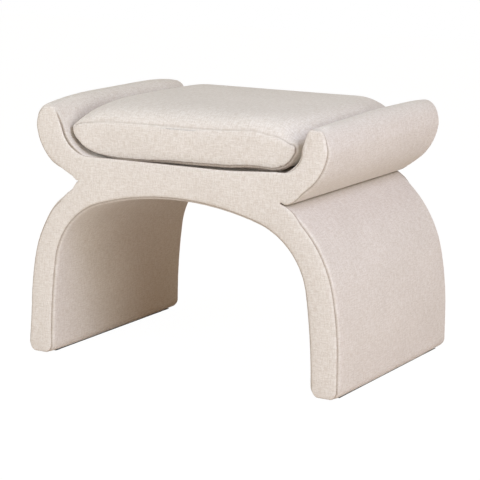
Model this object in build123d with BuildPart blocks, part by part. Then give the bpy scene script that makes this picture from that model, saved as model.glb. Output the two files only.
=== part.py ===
from build123d import *
import os
from math import atan2, cos, degrees, hypot, radians, sin, sqrt, tan

os.makedirs("parts", exist_ok=True)

# Millimetres. X is the width, Y the depth with the front at -Y, and Z is up from the floor.

# Overall sizes over the covers
overall_width = 671.0
overall_depth = 448.0
overall_height = 490.0
foot_clearance = 5.0

# Arch under the seat
foot_width = 60.0
seat_thickness = 69.0
crown_radius = 568.0
haunch_radius = 140.0
inner_leg_radius = 1145.0

# Outer side of each leg, which starts to curve in this far below the wing tips
curve_drop = 414.0
knee_radius = 606.0
knee_sweep = 11.3
shoulder_radius = 223.0
foot_radius = 14.0

# Wings and the scoop between them
wing_inset = 24.0
tip_drop = 39.0
scoop_depth = 95.0
side_radius = 104.0
flare_radius = 264.0
flare_turn = 50.5
crease_radius = 1.0
tip_radius = 30.0
wing_lean = 16.0
bowl_radius = 57.0

# Layers, from the outside in
cover_thickness = 1.5
edge_radius = 10.0
seam_setback = 2.0
layer_gap = 0.4
side_foam = 12.0
face_foam = 10.0
skin_thickness = 4.0
rib_thickness = 18.0

# Frame members
foot_rail_height = 22.0
wing_rail_depth = 30.0
stretcher_width = 45.0
stretcher_height = 32.0
stretcher_inset = 185.5
stretcher_drop = 41.0

# Fasteners and feet
screw_diameter = 4.5
screw_head = 9.0
screw_length = 48.0
screw_spacing = 24.0
screw_clearance = 0.1
hem_reach = 22.0
dust_thickness = 0.8
dust_width = 38.0
dust_margin = 24.0
glide_diameter = 22.0
glide_inset = 45.0
nail_diameter = 2.4
nail_head = 5.6
nail_length = 19.0
nail_clearance = 0.2
staple_wire = 0.8
staple_crown = 10.0
staple_leg = 8.0
staple_rows = 5

# Loose cushion
cushion_end_room = 75.5
cushion_seam_draw = 2.0
cushion_setback = 15.0
cushion_gap = 0.5
cushion_seam_top = 65.0
cushion_seam_base = 3.0
cushion_top = 96.0
nose_level = 35.0
seam_nose_radius = 16.0
mid_nose_radius = 22.0
cushion_shoulder = 95.0
case_thickness = 1.5
wadding_thickness = 8.0
front_bulge = 5.0
rear_room = 5.0

# Zip in the rear of the cushion
zip_end_room = 46.0
tooth_pitch = 4.0
tooth_width = 2.2
tooth_reach = 1.4
zip_gap = 1.2
spine_height = 1.2
chain_thickness = 2.4
tape_height = 10.0
tape_thickness = 0.8
tape_gap = 0.2
zip_slot = 11.0
slider_length = 11.0
slider_height = 8.0
slider_plate = 1.2
slider_play = 0.4
bridge_length = 6.4
bridge_width = 2.4
bridge_rise = 2.6
bridge_wall = 1.0
pull_wire = 1.0
pull_arm = 6.0
pull_tab = 16.0
pull_width = 5.0

half_depth = overall_depth / 2
half_foot = overall_width / 2
half_arch = half_foot - foot_width
half_wing = half_foot - wing_inset
deck_height = overall_height - scoop_depth
arch_height = deck_height - seat_thickness
wing_widest = overall_height - tip_drop
leg_straight = overall_height - curve_drop
foot_middle = (half_arch + half_foot) / 2
foot_top = foot_clearance + foot_radius
foam_inset = cover_thickness + layer_gap
frame_inset = foam_inset + side_foam
skin_inset = frame_inset + layer_gap
rib_inset = skin_inset + skin_thickness + layer_gap
frame_half = half_depth - foam_inset - face_foam
frame_bottom = foot_clearance + foam_inset
foot_rail_top = frame_bottom + foot_rail_height
wing_rail_bottom = overall_height - skin_inset - wing_rail_depth
below_floor = -60.0


# Profile geometry

def polar(center, radius, angle):
    """Point at a distance and an angle in degrees from a center."""
    return (center[0] + radius * cos(radians(angle)), center[1] + radius * sin(radians(angle)))


def bearing(center, point):
    """Angle in degrees from a center to a point."""
    return degrees(atan2(point[1] - center[1], point[0] - center[0]))


def right_meeting(center_a, reach_a, center_b, reach_b):
    """The meeting point of two circles that lies further to the right."""
    gap = hypot(center_b[0] - center_a[0], center_b[1] - center_a[1])
    along = (gap**2 + reach_a**2 - reach_b**2) / (2 * gap)
    swing = degrees(atan2(sqrt(reach_a**2 - along**2), along))
    heading = bearing(center_a, center_b)
    return max(polar(center_a, reach_a, heading + swing), polar(center_a, reach_a, heading - swing))


# Centers of the arcs on the right half of the profile
crown = (0, arch_height - crown_radius)
inner_leg = (half_arch - inner_leg_radius, foot_top)
haunch = right_meeting(crown, crown_radius - haunch_radius, inner_leg, inner_leg_radius - haunch_radius)
knee = (half_foot - knee_radius, leg_straight)
shoulder = polar(knee, knee_radius - shoulder_radius, knee_sweep)
side = (half_wing - side_radius, wing_widest)
flare = polar(side, flare_radius - side_radius, 180 - flare_turn)
crease = right_meeting(shoulder, shoulder_radius + crease_radius, flare, flare_radius + crease_radius)
tip = (half_wing - tip_radius, overall_height - tip_radius)
wall_top = polar(tip, tip_radius, 180 - wing_lean)
wall_foot_level = deck_height + bowl_radius * (1 - sin(radians(wing_lean)))
wall_foot = (wall_top[0] - (wall_top[1] - wall_foot_level) * tan(radians(wing_lean)), wall_foot_level)
bowl = polar(wall_foot, bowl_radius, 180 - wing_lean)


def body_face(inset, rounded_feet=True):
    """Profile of the stool drawn in by an inset; square feet run on below the floor to be cut to length."""
    crown_end = bearing(crown, haunch)
    haunch_end = bearing(inner_leg, haunch)
    shoulder_end = bearing(shoulder, crease)
    flare_start = bearing(flare, crease)
    crease_start = shoulder_end + 180
    crease_end = flare_start + 180
    with BuildSketch() as profile:
        with BuildLine():
            CenterArc(crown, crown_radius, crown_end, 90 - crown_end)
            CenterArc(haunch, haunch_radius, haunch_end, crown_end - haunch_end)
            CenterArc(inner_leg, inner_leg_radius, 0, haunch_end)
            if rounded_feet:
                CenterArc((half_arch + foot_radius, foot_top), foot_radius, 180, 90)
                Line((half_arch + foot_radius, foot_clearance), (half_foot - foot_radius, foot_clearance))
                CenterArc((half_foot - foot_radius, foot_top), foot_radius, 270, 90)
            else:
                Line((half_arch, foot_top), (half_arch, below_floor))
                Line((half_arch, below_floor), (half_foot, below_floor))
                Line((half_foot, below_floor), (half_foot, foot_top))
            Line((half_foot, foot_top), (half_foot, leg_straight))
            CenterArc(knee, knee_radius, 0, knee_sweep)
            CenterArc(shoulder, shoulder_radius, knee_sweep, shoulder_end - knee_sweep)
            CenterArc(crease, crease_radius, crease_start, crease_end - crease_start)
            CenterArc(flare, flare_radius, flare_start, -flare_turn - flare_start)
            CenterArc(side, side_radius, -flare_turn, flare_turn)
            Line((half_wing, wing_widest), (half_wing, tip[1]))
            CenterArc(tip, tip_radius, 0, 180 - wing_lean)
            Line(wall_top, wall_foot)
            CenterArc(bowl, bowl_radius, 270, 90 - wing_lean)
            Line((bowl[0], deck_height), (0, deck_height))
            Line((0, deck_height), (0, arch_height))
        make_face()
        mirror(about=Plane.YZ)
        if inset:
            offset(amount=-inset, kind=Kind.ARC)
    return profile.sketch


def rounded_body(inset):
    """The whole stool body with soft front and rear edges, drawn in by an inset."""
    half = half_depth - inset
    with BuildPart() as body:
        with BuildSketch(Plane.XZ.offset(-half)):
            add(body_face(inset))
        extrude(amount=2 * half)
        ends = body.faces().sort_by(Axis.Y)
        fillet(ends[0].edges() + ends[-1].edges(), radius=edge_radius - inset)
    return body.part


def frame_band(inset):
    """Profile between the foot rails and the wing rails, drawn in by an inset."""
    with BuildSketch() as band:
        add(body_face(inset, rounded_feet=False))
        with Locations((0, (foot_rail_top + wing_rail_bottom) / 2)):
            Rectangle(overall_width, wing_rail_bottom - foot_rail_top, mode=Mode.INTERSECT)
    return band.sketch


# Frame: ribs, rails and stretchers

stretcher_offset = half_foot - stretcher_inset
stretcher_level = deck_height - stretcher_drop
rib_centers = (rib_thickness / 2 - frame_half, 0, frame_half - rib_thickness / 2)
screw_ends = [(side * stretcher_offset + step * screw_spacing / 2, stretcher_level)
              for side in (-1, 1) for step in (-1, 1)]
hole_radius = screw_diameter / 2 + screw_clearance
head_radius = screw_head / 2 + screw_clearance
head_height = (screw_head - screw_diameter) / 2

for name, center in zip(("front_rib", "centre_rib", "rear_rib"), rib_centers):
    with BuildPart() as rib:
        with BuildSketch(Plane.XZ.offset(-center - rib_thickness / 2)):
            add(frame_band(rib_inset))
        extrude(amount=rib_thickness)
        if center:
            outward = -1 if center < 0 else 1
            face = Plane((0, outward * frame_half, 0), x_dir=(1, 0, 0), z_dir=(0, outward, 0))
            with BuildSketch(face):
                with Locations([(x, -outward * z) for x, z in screw_ends]):
                    Circle(hole_radius)
            extrude(amount=-rib_thickness, mode=Mode.SUBTRACT)
            with BuildSketch(face):
                with Locations([(x, -outward * z) for x, z in screw_ends]):
                    Circle(head_radius)
            extrude(amount=-head_height - screw_clearance, taper=45, mode=Mode.SUBTRACT)
        with Locations([(side * tip[0], center, wing_rail_bottom) for side in (-1, 1)]):
            Cylinder(hole_radius, 2 * screw_length, mode=Mode.SUBTRACT)
        with Locations([(side * foot_middle, center, foot_rail_top) for side in (-1, 1)]):
            Cylinder(hole_radius, 2 * screw_length, mode=Mode.SUBTRACT)
    rib.part.label = name
    export_step(rib.part, f"parts/{name}.step")

rail_screw_top = overall_height - skin_inset - 1.5
foot_screw_base = frame_bottom + 4.0
glide_rows = (glide_inset - half_depth, half_depth - glide_inset)

for name, sign in (("left", -1), ("right", 1)):
    with BuildPart() as foot_rail:
        with BuildSketch(Plane.XZ.offset(-frame_half)):
            add(body_face(skin_inset, rounded_feet=False))
            with Locations((sign * foot_middle, (frame_bottom + foot_rail_top) / 2)):
                Rectangle(half_foot - half_arch, foot_rail_height, mode=Mode.INTERSECT)
        extrude(amount=2 * frame_half)
        with Locations([(sign * foot_middle, center, foot_rail_top) for center in rib_centers]):
            Cylinder(hole_radius, 2 * screw_length, mode=Mode.SUBTRACT)
        with Locations([(sign * foot_middle, center, frame_bottom) for center in rib_centers]):
            Cylinder(head_radius, 2 * (foot_screw_base - frame_bottom + head_height), mode=Mode.SUBTRACT)
        with Locations([(sign * foot_middle, row, frame_bottom) for row in glide_rows]):
            Cylinder(nail_diameter / 2 + nail_clearance, 2 * nail_length, mode=Mode.SUBTRACT)
    foot_rail.part.label = f"{name}_foot_rail"
    export_step(foot_rail.part, f"parts/{name}_foot_rail.step")

    with BuildPart() as wing_rail:
        with BuildSketch(Plane.XZ.offset(-frame_half)):
            add(body_face(skin_inset))
            with Locations((sign * overall_width / 2, wing_rail_bottom + overall_height)):
                Rectangle(overall_width, 2 * overall_height, mode=Mode.INTERSECT)
        extrude(amount=2 * frame_half)
        with Locations([(sign * tip[0], center, rail_screw_top) for center in rib_centers]):
            Cylinder(hole_radius, 2 * screw_length, mode=Mode.SUBTRACT)
            Cylinder(head_radius, 2 * head_height, mode=Mode.SUBTRACT)
    wing_rail.part.label = f"{name}_wing_rail"
    export_step(wing_rail.part, f"parts/{name}_wing_rail.step")

    for place, near in (("front", rib_centers[0]), ("rear", rib_centers[2])):
        toward = 1 if near > 0 else -1
        with BuildPart() as stretcher:
            with BuildSketch(Plane.XZ.offset(-toward * rib_thickness / 2)):
                with Locations((sign * stretcher_offset, stretcher_level)):
                    Rectangle(stretcher_width, stretcher_height)
            extrude(amount=-toward * (frame_half - 1.5 * rib_thickness))
            with BuildSketch(Plane.XZ.offset(-toward * (frame_half - rib_thickness))):
                with Locations([(x, z) for x, z in screw_ends if x * sign > 0]):
                    Circle(hole_radius)
            extrude(amount=toward * (screw_length - rib_thickness + 2), mode=Mode.SUBTRACT)
        stretcher.part.label = f"{name}_{place}_stretcher"
        export_step(stretcher.part, f"parts/{name}_{place}_stretcher.step")

# Screws that hold the stretchers to the front and rear ribs
with BuildPart() as stretcher_screws:
    for outward in (-1, 1):
        face = Plane((0, outward * frame_half, 0), x_dir=(1, 0, 0), z_dir=(0, outward, 0))
        with BuildSketch(face):
            with Locations([(x, -outward * z) for x, z in screw_ends]):
                Circle(screw_diameter / 2)
        extrude(amount=-screw_length)
        with BuildSketch(face):
            with Locations([(x, -outward * z) for x, z in screw_ends]):
                Circle(screw_head / 2)
        extrude(amount=-head_height, taper=45)
stretcher_screws.part.label = "stretcher_screws"
export_step(stretcher_screws.part, "parts/stretcher_screws.step")

# Screws that hold the foot and wing rails to the ribs
with BuildPart() as rail_screws:
    spots = [(x, y) for x in (-1, 1) for y in rib_centers]
    with BuildSketch(Plane.XY.offset(rail_screw_top)):
        with Locations([(x * tip[0], y) for x, y in spots]):
            Circle(screw_diameter / 2)
    extrude(amount=-screw_length)
    with BuildSketch(Plane.XY.offset(rail_screw_top)):
        with Locations([(x * tip[0], y) for x, y in spots]):
            Circle(screw_head / 2)
    extrude(amount=-head_height, taper=45)
    with BuildSketch(Plane.XY.offset(foot_screw_base)):
        with Locations([(x * foot_middle, y) for x, y in spots]):
            Circle(screw_diameter / 2)
    extrude(amount=screw_length)
    with BuildSketch(Plane.XY.offset(foot_screw_base)):
        with Locations([(x * foot_middle, y) for x, y in spots]):
            Circle(screw_head / 2)
    extrude(amount=head_height, taper=45)
rail_screws.part.label = "rail_screws"
export_step(rail_screws.part, "parts/rail_screws.step")

# Bent plywood skins on the ribs

with BuildPart() as skin_ring:
    with BuildSketch(Plane.XZ.offset(-frame_half)):
        add(frame_band(skin_inset))
        add(frame_band(skin_inset + skin_thickness), mode=Mode.SUBTRACT)
    extrude(amount=2 * frame_half)

side_skins = skin_ring.solids().sort_by(Axis.X)
middle_skins = ShapeList(side_skins[1:-1]).sort_by(Axis.Z)
crease_cut = Plane.XY.offset(crease[1])

for name, shell in (("left", side_skins[0]), ("right", side_skins[-1])):
    with BuildPart() as leg_skin:
        add(shell)
        split(bisect_by=crease_cut, keep=Keep.BOTTOM)
    leg_skin.part.label = f"{name}_leg_skin"
    export_step(leg_skin.part, f"parts/{name}_leg_skin.step")

    with BuildPart() as wing_skin:
        add(shell)
        split(bisect_by=crease_cut, keep=Keep.TOP)
    wing_skin.part.label = f"{name}_wing_skin"
    export_step(wing_skin.part, f"parts/{name}_wing_skin.step")

for name, shell in (("arch_skin", middle_skins[0]), ("seat_deck", middle_skins[-1])):
    with BuildPart() as skin:
        add(shell)
    skin.part.label = name
    export_step(skin.part, f"parts/{name}.step")

# Foam between the frame and the covers

with BuildPart() as foam_shell:
    add(rounded_body(foam_inset))
    with BuildSketch(Plane.XZ.offset(-frame_half)):
        add(body_face(frame_inset, rounded_feet=False))
    extrude(amount=2 * frame_half, mode=Mode.SUBTRACT)

with BuildPart() as front_foam:
    add(foam_shell.part)
    split(bisect_by=Plane.XZ.offset(frame_half), keep=Keep.TOP)
front_foam.part.label = "front_foam"
export_step(front_foam.part, "parts/front_foam.step")

with BuildPart() as rear_foam:
    add(foam_shell.part)
    split(bisect_by=Plane.XZ.offset(-frame_half), keep=Keep.BOTTOM)
rear_foam.part.label = "rear_foam"
export_step(rear_foam.part, "parts/rear_foam.step")

with BuildPart() as foam_ring:
    add(foam_shell.part)
    split(bisect_by=Plane.XZ.offset(frame_half), keep=Keep.BOTTOM)
    split(bisect_by=Plane.XZ.offset(-frame_half), keep=Keep.TOP)

foam_strips = foam_ring.solids().sort_by(Axis.Z)

with BuildPart() as arch_foam:
    add(foam_strips[0])
arch_foam.part.label = "arch_foam"
export_step(arch_foam.part, "parts/arch_foam.step")

with BuildPart() as seat_foam:
    add(foam_strips[-1])
    split(bisect_by=crease_cut, keep=Keep.TOP)
seat_foam.part.label = "seat_foam"
export_step(seat_foam.part, "parts/seat_foam.step")

with BuildPart() as leg_foams:
    add(foam_strips[-1])
    split(bisect_by=crease_cut, keep=Keep.BOTTOM)

for name, strip in zip(("left", "right"), leg_foams.solids().sort_by(Axis.X)):
    with BuildPart() as leg_foam:
        add(strip)
    leg_foam.part.label = f"{name}_leg_foam"
    export_step(leg_foam.part, f"parts/{name}_leg_foam.step")

# Fabric covers, parted along the seams

seam_plane = half_depth - seam_setback

with BuildPart() as cover_shell:
    add(rounded_body(0))
    add(rounded_body(cover_thickness), mode=Mode.SUBTRACT)

with BuildPart() as front_cover:
    add(cover_shell.part)
    split(bisect_by=Plane.XZ.offset(seam_plane), keep=Keep.TOP)
front_cover.part.label = "front_cover"
export_step(front_cover.part, "parts/front_cover.step")

with BuildPart() as rear_cover:
    add(cover_shell.part)
    split(bisect_by=Plane.XZ.offset(-seam_plane), keep=Keep.BOTTOM)
rear_cover.part.label = "rear_cover"
export_step(rear_cover.part, "parts/rear_cover.step")

with BuildPart() as cover_ring:
    add(cover_shell.part)
    split(bisect_by=Plane.XZ.offset(seam_plane), keep=Keep.BOTTOM)
    split(bisect_by=Plane.XZ.offset(-seam_plane), keep=Keep.TOP)
    with Locations([(sign * foot_middle, 0, foot_clearance) for sign in (-1, 1)]):
        Box(half_foot - half_arch - 2 * hem_reach, overall_depth, 4 * edge_radius, mode=Mode.SUBTRACT)

cover_strips = cover_ring.solids().sort_by(Axis.Z)

with BuildPart() as arch_cover:
    add(cover_strips[0])
arch_cover.part.label = "arch_cover"
export_step(arch_cover.part, "parts/arch_cover.step")

with BuildPart() as seat_cover:
    add(cover_strips[-1])
    split(bisect_by=crease_cut, keep=Keep.TOP)
seat_cover.part.label = "seat_cover"
export_step(seat_cover.part, "parts/seat_cover.step")

with BuildPart() as leg_covers:
    add(cover_strips[-1])
    split(bisect_by=crease_cut, keep=Keep.BOTTOM)

for name, strip in zip(("left", "right"), leg_covers.solids().sort_by(Axis.X)):
    with BuildPart() as leg_cover:
        add(strip)
    leg_cover.part.label = f"{name}_leg_cover"
    export_step(leg_cover.part, f"parts/{name}_leg_cover.step")

# Undersides of the feet: dust covers, staples, glides and their nails

dust_top = foot_clearance - layer_gap
dust_base = dust_top - dust_thickness
glide_height = dust_base
nail_base = 0.4
nail_head_height = 1.0

for name, sign in (("left", -1), ("right", 1)):
    with BuildPart() as dust_cover:
        with BuildSketch(Plane.XY.offset(dust_base)):
            with Locations((sign * foot_middle, 0)):
                Rectangle(dust_width, overall_depth - 2 * dust_margin)
            with Locations([(sign * foot_middle, row) for row in glide_rows]):
                Circle(nail_diameter / 2 + nail_clearance, mode=Mode.SUBTRACT)
        extrude(amount=dust_thickness)
    dust_cover.part.label = f"{name}_dust_cover"
    export_step(dust_cover.part, f"parts/{name}_dust_cover.step")

    for place, row in zip(("front", "rear"), glide_rows):
        with BuildPart() as glide:
            with BuildSketch(Plane.XY):
                with Locations((sign * foot_middle, row)):
                    Circle(glide_diameter / 2)
                    Circle(nail_diameter / 2 + nail_clearance, mode=Mode.SUBTRACT)
            extrude(amount=glide_height)
            rim = glide.edges().filter_by(GeomType.CIRCLE).group_by(Axis.Z)[-1].sort_by(SortBy.RADIUS)[-1]
            fillet(rim, radius=glide_height / 3)
            with BuildSketch(Plane.XY):
                with Locations((sign * foot_middle, row)):
                    Circle(nail_head / 2 + nail_clearance)
            extrude(amount=nail_base + nail_head_height + nail_clearance, mode=Mode.SUBTRACT)
        glide.part.label = f"{name}_{place}_glide"
        export_step(glide.part, f"parts/{name}_{place}_glide.step")

glide_spots = [(sign * foot_middle, row) for sign in (-1, 1) for row in glide_rows]
with BuildPart() as glide_nails:
    with BuildSketch(Plane.XY.offset(nail_base)):
        with Locations(glide_spots):
            Circle(nail_head / 2)
    extrude(amount=nail_head_height)
    with BuildSketch(Plane.XY.offset(nail_base)):
        with Locations(glide_spots):
            Circle(nail_diameter / 2)
    extrude(amount=nail_length)
glide_nails.part.label = "glide_nails"
export_step(glide_nails.part, "parts/glide_nails.step")

staple_step = (overall_depth - 2 * dust_margin - 24) / (staple_rows - 1)
staple_reach = dust_width / 2 - 4
with BuildPart() as dust_staples:
    for sign in (-1, 1):
        for edge in (-1, 1):
            line_x = sign * foot_middle + edge * staple_reach
            with BuildSketch(Plane.YZ.offset(line_x - staple_wire / 2)):
                with Locations((0, dust_base + (staple_leg - staple_wire) / 2)):
                    with GridLocations(staple_step, 0, staple_rows, 1):
                        Rectangle(staple_crown, staple_leg + staple_wire)
                with Locations((0, dust_base + staple_leg / 2)):
                    with GridLocations(staple_step, 0, staple_rows, 1):
                        Rectangle(staple_crown - 2 * staple_wire, staple_leg, mode=Mode.SUBTRACT)
            extrude(amount=staple_wire)
dust_staples.part.label = "dust_staples"
export_step(dust_staples.part, "parts/dust_staples.step")

# Loose cushion

cushion_base = deck_height + cushion_gap
cushion_half = half_depth - cushion_setback
cushion_mid_width = 2 * (half_wing - cushion_end_room)
cushion_seam_width = cushion_mid_width - 2 * cushion_seam_draw


def cushion_face(inset, width, top, base, nose_radius):
    """Section across the cushion: flat top and base, round shoulders and a tighter round nose at each end."""
    nose = (width / 2 - nose_radius, cushion_base + nose_level)
    reach = cushion_shoulder - nose_radius
    upper_level = cushion_base + top - cushion_shoulder
    lower_level = cushion_base + base + cushion_shoulder
    upper = (nose[0] - sqrt(reach**2 - (nose[1] - upper_level) ** 2), upper_level)
    lower = (nose[0] - sqrt(reach**2 - (nose[1] - lower_level) ** 2), lower_level)
    upper_end = bearing(upper, nose)
    lower_end = bearing(lower, nose)
    with BuildSketch() as section:
        with BuildLine():
            Line((0, cushion_base + base + inset), (lower[0], cushion_base + base + inset))
            CenterArc(lower, cushion_shoulder - inset, 270, 90 + lower_end)
            CenterArc(nose, nose_radius - inset, lower_end, upper_end - lower_end)
            CenterArc(upper, cushion_shoulder - inset, upper_end, 90 - upper_end)
            Line((upper[0], cushion_base + top - inset), (0, cushion_base + top - inset))
            mirror(about=Plane.YZ)
        make_face()
    return section.sketch


def seam_face(inset):
    """The cushion's front and rear seam outline, drawn in by an inset."""
    return cushion_face(inset, cushion_seam_width, cushion_seam_top, cushion_seam_base, seam_nose_radius)


def cushion_form(inset):
    """The cushion between its front and rear seams, with its crown, drawn in by an inset."""
    rise = cushion_top - cushion_seam_top
    swell = cushion_mid_width - cushion_seam_width
    round_up = mid_nose_radius - seam_nose_radius
    stations = ((-1, 0), (-0.92, 0.6), (-0.75, 0.88), (0, 1), (0.75, 0.88), (0.92, 0.6), (1, 0))
    with BuildPart() as form:
        for place, fullness in stations:
            with BuildSketch(Plane.XZ.offset(-place * cushion_half)):
                add(cushion_face(
                    inset,
                    cushion_seam_width + swell * fullness,
                    cushion_seam_top + rise * fullness,
                    cushion_seam_base * (1 - fullness),
                    seam_nose_radius + round_up * fullness,
                ))
        loft()
    return form.part


core_inset = case_thickness + layer_gap + wadding_thickness + layer_gap
filling_front = cushion_half - layer_gap
filling_rear = cushion_half - rear_room

with BuildPart() as cushion_core:
    add(cushion_form(core_inset))
    split(bisect_by=Plane.XZ.offset(filling_front), keep=Keep.BOTTOM)
    split(bisect_by=Plane.XZ.offset(-filling_rear), keep=Keep.TOP)
cushion_core.part.label = "cushion_core"
export_step(cushion_core.part, "parts/cushion_core.step")

with BuildPart() as cushion_wadding:
    add(cushion_form(case_thickness + layer_gap))
    add(cushion_form(core_inset - layer_gap), mode=Mode.SUBTRACT)
    split(bisect_by=Plane.XZ.offset(filling_front), keep=Keep.BOTTOM)
    split(bisect_by=Plane.XZ.offset(-filling_rear), keep=Keep.TOP)
cushion_wadding.part.label = "cushion_wadding"
export_step(cushion_wadding.part, "parts/cushion_wadding.step")

with BuildPart() as cushion_wrap:
    add(cushion_form(0))
    add(cushion_form(case_thickness), mode=Mode.SUBTRACT)
cushion_wrap.part.label = "cushion_wrap"
export_step(cushion_wrap.part, "parts/cushion_wrap.step")

with BuildPart() as cushion_front_panel:
    with BuildSketch(Plane.XZ.offset(cushion_half)):
        add(seam_face(0))
    with BuildSketch(Plane.XZ.offset(cushion_half + front_bulge)):
        add(seam_face(front_bulge + 1))
    loft(ruled=True)
    with BuildSketch(Plane.XZ.offset(cushion_half)):
        add(seam_face(case_thickness))
    with BuildSketch(Plane.XZ.offset(cushion_half + front_bulge - case_thickness)):
        add(seam_face(front_bulge + 1))
    loft(ruled=True, mode=Mode.SUBTRACT)
cushion_front_panel.part.label = "cushion_front_panel"
export_step(cushion_front_panel.part, "parts/cushion_front_panel.step")

# Rear panel in two halves with the zip between them

zip_level = cushion_base + nose_level
zip_length = cushion_seam_width - 2 * zip_end_room
zip_cut = Plane.XY.offset(zip_level)
slot_length = zip_length + 2 * tape_height
panel_inner = cushion_half
tape_outer = panel_inner - tape_gap
chain_middle = tape_outer - tape_thickness / 2

with BuildPart() as rear_panel:
    with BuildSketch(Plane.XZ.offset(-panel_inner)):
        add(seam_face(0))
        with Locations((0, zip_level)):
            Rectangle(slot_length, zip_slot, mode=Mode.SUBTRACT)
    extrude(amount=-case_thickness)

for name, keep in (("upper", Keep.TOP), ("lower", Keep.BOTTOM)):
    with BuildPart() as panel_half:
        add(rear_panel.part)
        split(bisect_by=zip_cut, keep=keep)
    panel_half.part.label = f"cushion_rear_{name}"
    export_step(panel_half.part, f"parts/cushion_rear_{name}.step")

spine_start = zip_gap / 2 + tooth_reach
spine_end = spine_start + spine_height
tooth_count = int(zip_length / tooth_pitch)

for name, sign in (("upper", 1), ("lower", -1)):
    with BuildPart() as zip_tape:
        with BuildSketch(Plane.XZ.offset(-tape_outer)):
            with Locations((0, zip_level + sign * (spine_end + tape_height / 2))):
                Rectangle(slot_length, tape_height)
        extrude(amount=tape_thickness)
    zip_tape.part.label = f"zip_tape_{name}"
    export_step(zip_tape.part, f"parts/zip_tape_{name}.step")

    with BuildPart() as zip_teeth:
        with BuildSketch(Plane.XZ.offset(-chain_middle - chain_thickness / 2)):
            with Locations((0, zip_level + sign * (spine_start + spine_height / 2))):
                Rectangle(tooth_pitch * tooth_count, spine_height)
            with Locations((sign * tooth_pitch / 4, zip_level + sign * (spine_start - tooth_reach / 2))):
                with GridLocations(tooth_pitch, 0, tooth_count - 1, 1):
                    Rectangle(tooth_width, tooth_reach)
        extrude(amount=chain_thickness)
    zip_teeth.part.label = f"zip_teeth_{name}"
    export_step(zip_teeth.part, f"parts/zip_teeth_{name}.step")

stop_middle = (tooth_pitch * tooth_count + 3) / 2
with BuildPart() as zip_stops:
    with BuildSketch(Plane.XZ.offset(-chain_middle - chain_thickness / 2)):
        with Locations((-stop_middle, zip_level), (stop_middle, zip_level)):
            Rectangle(3, 2 * spine_end)
    extrude(amount=chain_thickness)
zip_stops.part.label = "zip_stops"
export_step(zip_stops.part, "parts/zip_stops.step")

slider_middle = stop_middle - 1.5 - slider_length / 2 - 1
front_plate = chain_middle + chain_thickness / 2 + slider_play
rear_plate = chain_middle - chain_thickness / 2 - slider_play
bridge_base = front_plate + slider_plate
with BuildPart() as zip_slider:
    with BuildSketch(Plane.XZ.offset(-front_plate)):
        with Locations((slider_middle, zip_level)):
            RectangleRounded(slider_length, slider_height, 1.5)
    extrude(amount=-slider_plate)
    with BuildSketch(Plane.XZ.offset(-rear_plate)):
        with Locations((slider_middle, zip_level)):
            RectangleRounded(slider_length, slider_height, 1.5)
    extrude(amount=slider_plate)
    with BuildSketch(Plane.XZ.offset(-rear_plate)):
        with Locations((slider_middle, zip_level)):
            Rectangle(slider_length / 2, zip_gap / 2)
    extrude(amount=rear_plate - front_plate)
    with BuildSketch(Plane.XY.offset(zip_level - bridge_width / 2)):
        with Locations((slider_middle, bridge_base + bridge_rise / 2)):
            Rectangle(bridge_length, bridge_rise)
        with Locations((slider_middle, bridge_base + (bridge_rise - bridge_wall) / 2)):
            Rectangle(bridge_length - 2 * bridge_wall, bridge_rise - bridge_wall, mode=Mode.SUBTRACT)
    extrude(amount=bridge_width)
zip_slider.part.label = "zip_slider"
export_step(zip_slider.part, "parts/zip_slider.step")

pull_axis = bridge_base + (bridge_rise - bridge_wall) / 2
arm_middle = slider_middle - pull_arm / 2
with BuildPart() as zip_pull:
    with BuildSketch(Plane.XY.offset(zip_level - pull_width / 2)):
        with Locations((slider_middle, pull_axis)):
            Circle(pull_wire / 2)
    extrude(amount=pull_width)
    with BuildSketch(Plane.XZ.offset(-pull_axis - pull_wire / 2)):
        with Locations((arm_middle, zip_level)):
            Rectangle(pull_arm, pull_width)
            Rectangle(pull_arm, bridge_width + 2 * slider_play, mode=Mode.SUBTRACT)
        with Locations((slider_middle - pull_arm - pull_tab / 2, zip_level)):
            RectangleRounded(pull_tab + pull_wire, pull_width, 1.5)
    extrude(amount=pull_wire)
zip_pull.part.label = "zip_pull"
export_step(zip_pull.part, "parts/zip_pull.step")
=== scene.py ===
# %% [markdown]
# # An upholstered stool with rolled wings and a loose cushion
# The stool is a bent plywood frame, padded and covered in a slubbed linen weave. The frame, the screws,
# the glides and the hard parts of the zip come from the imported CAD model. Here the soft goods are made
# around them: padded panels, a cushion that is inflated by cloth simulation, zip tapes and dust cloths.
# Then every surface gets its finish.

# %% Load the frame
from collections import namedtuple
from math import atan2, cos, exp, hypot, pi, radians, sin, sqrt, tan

import bmesh
import bpy
from mathutils import Matrix, Vector, kdtree, noise
from mathutils.bvhtree import BVHTree


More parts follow.
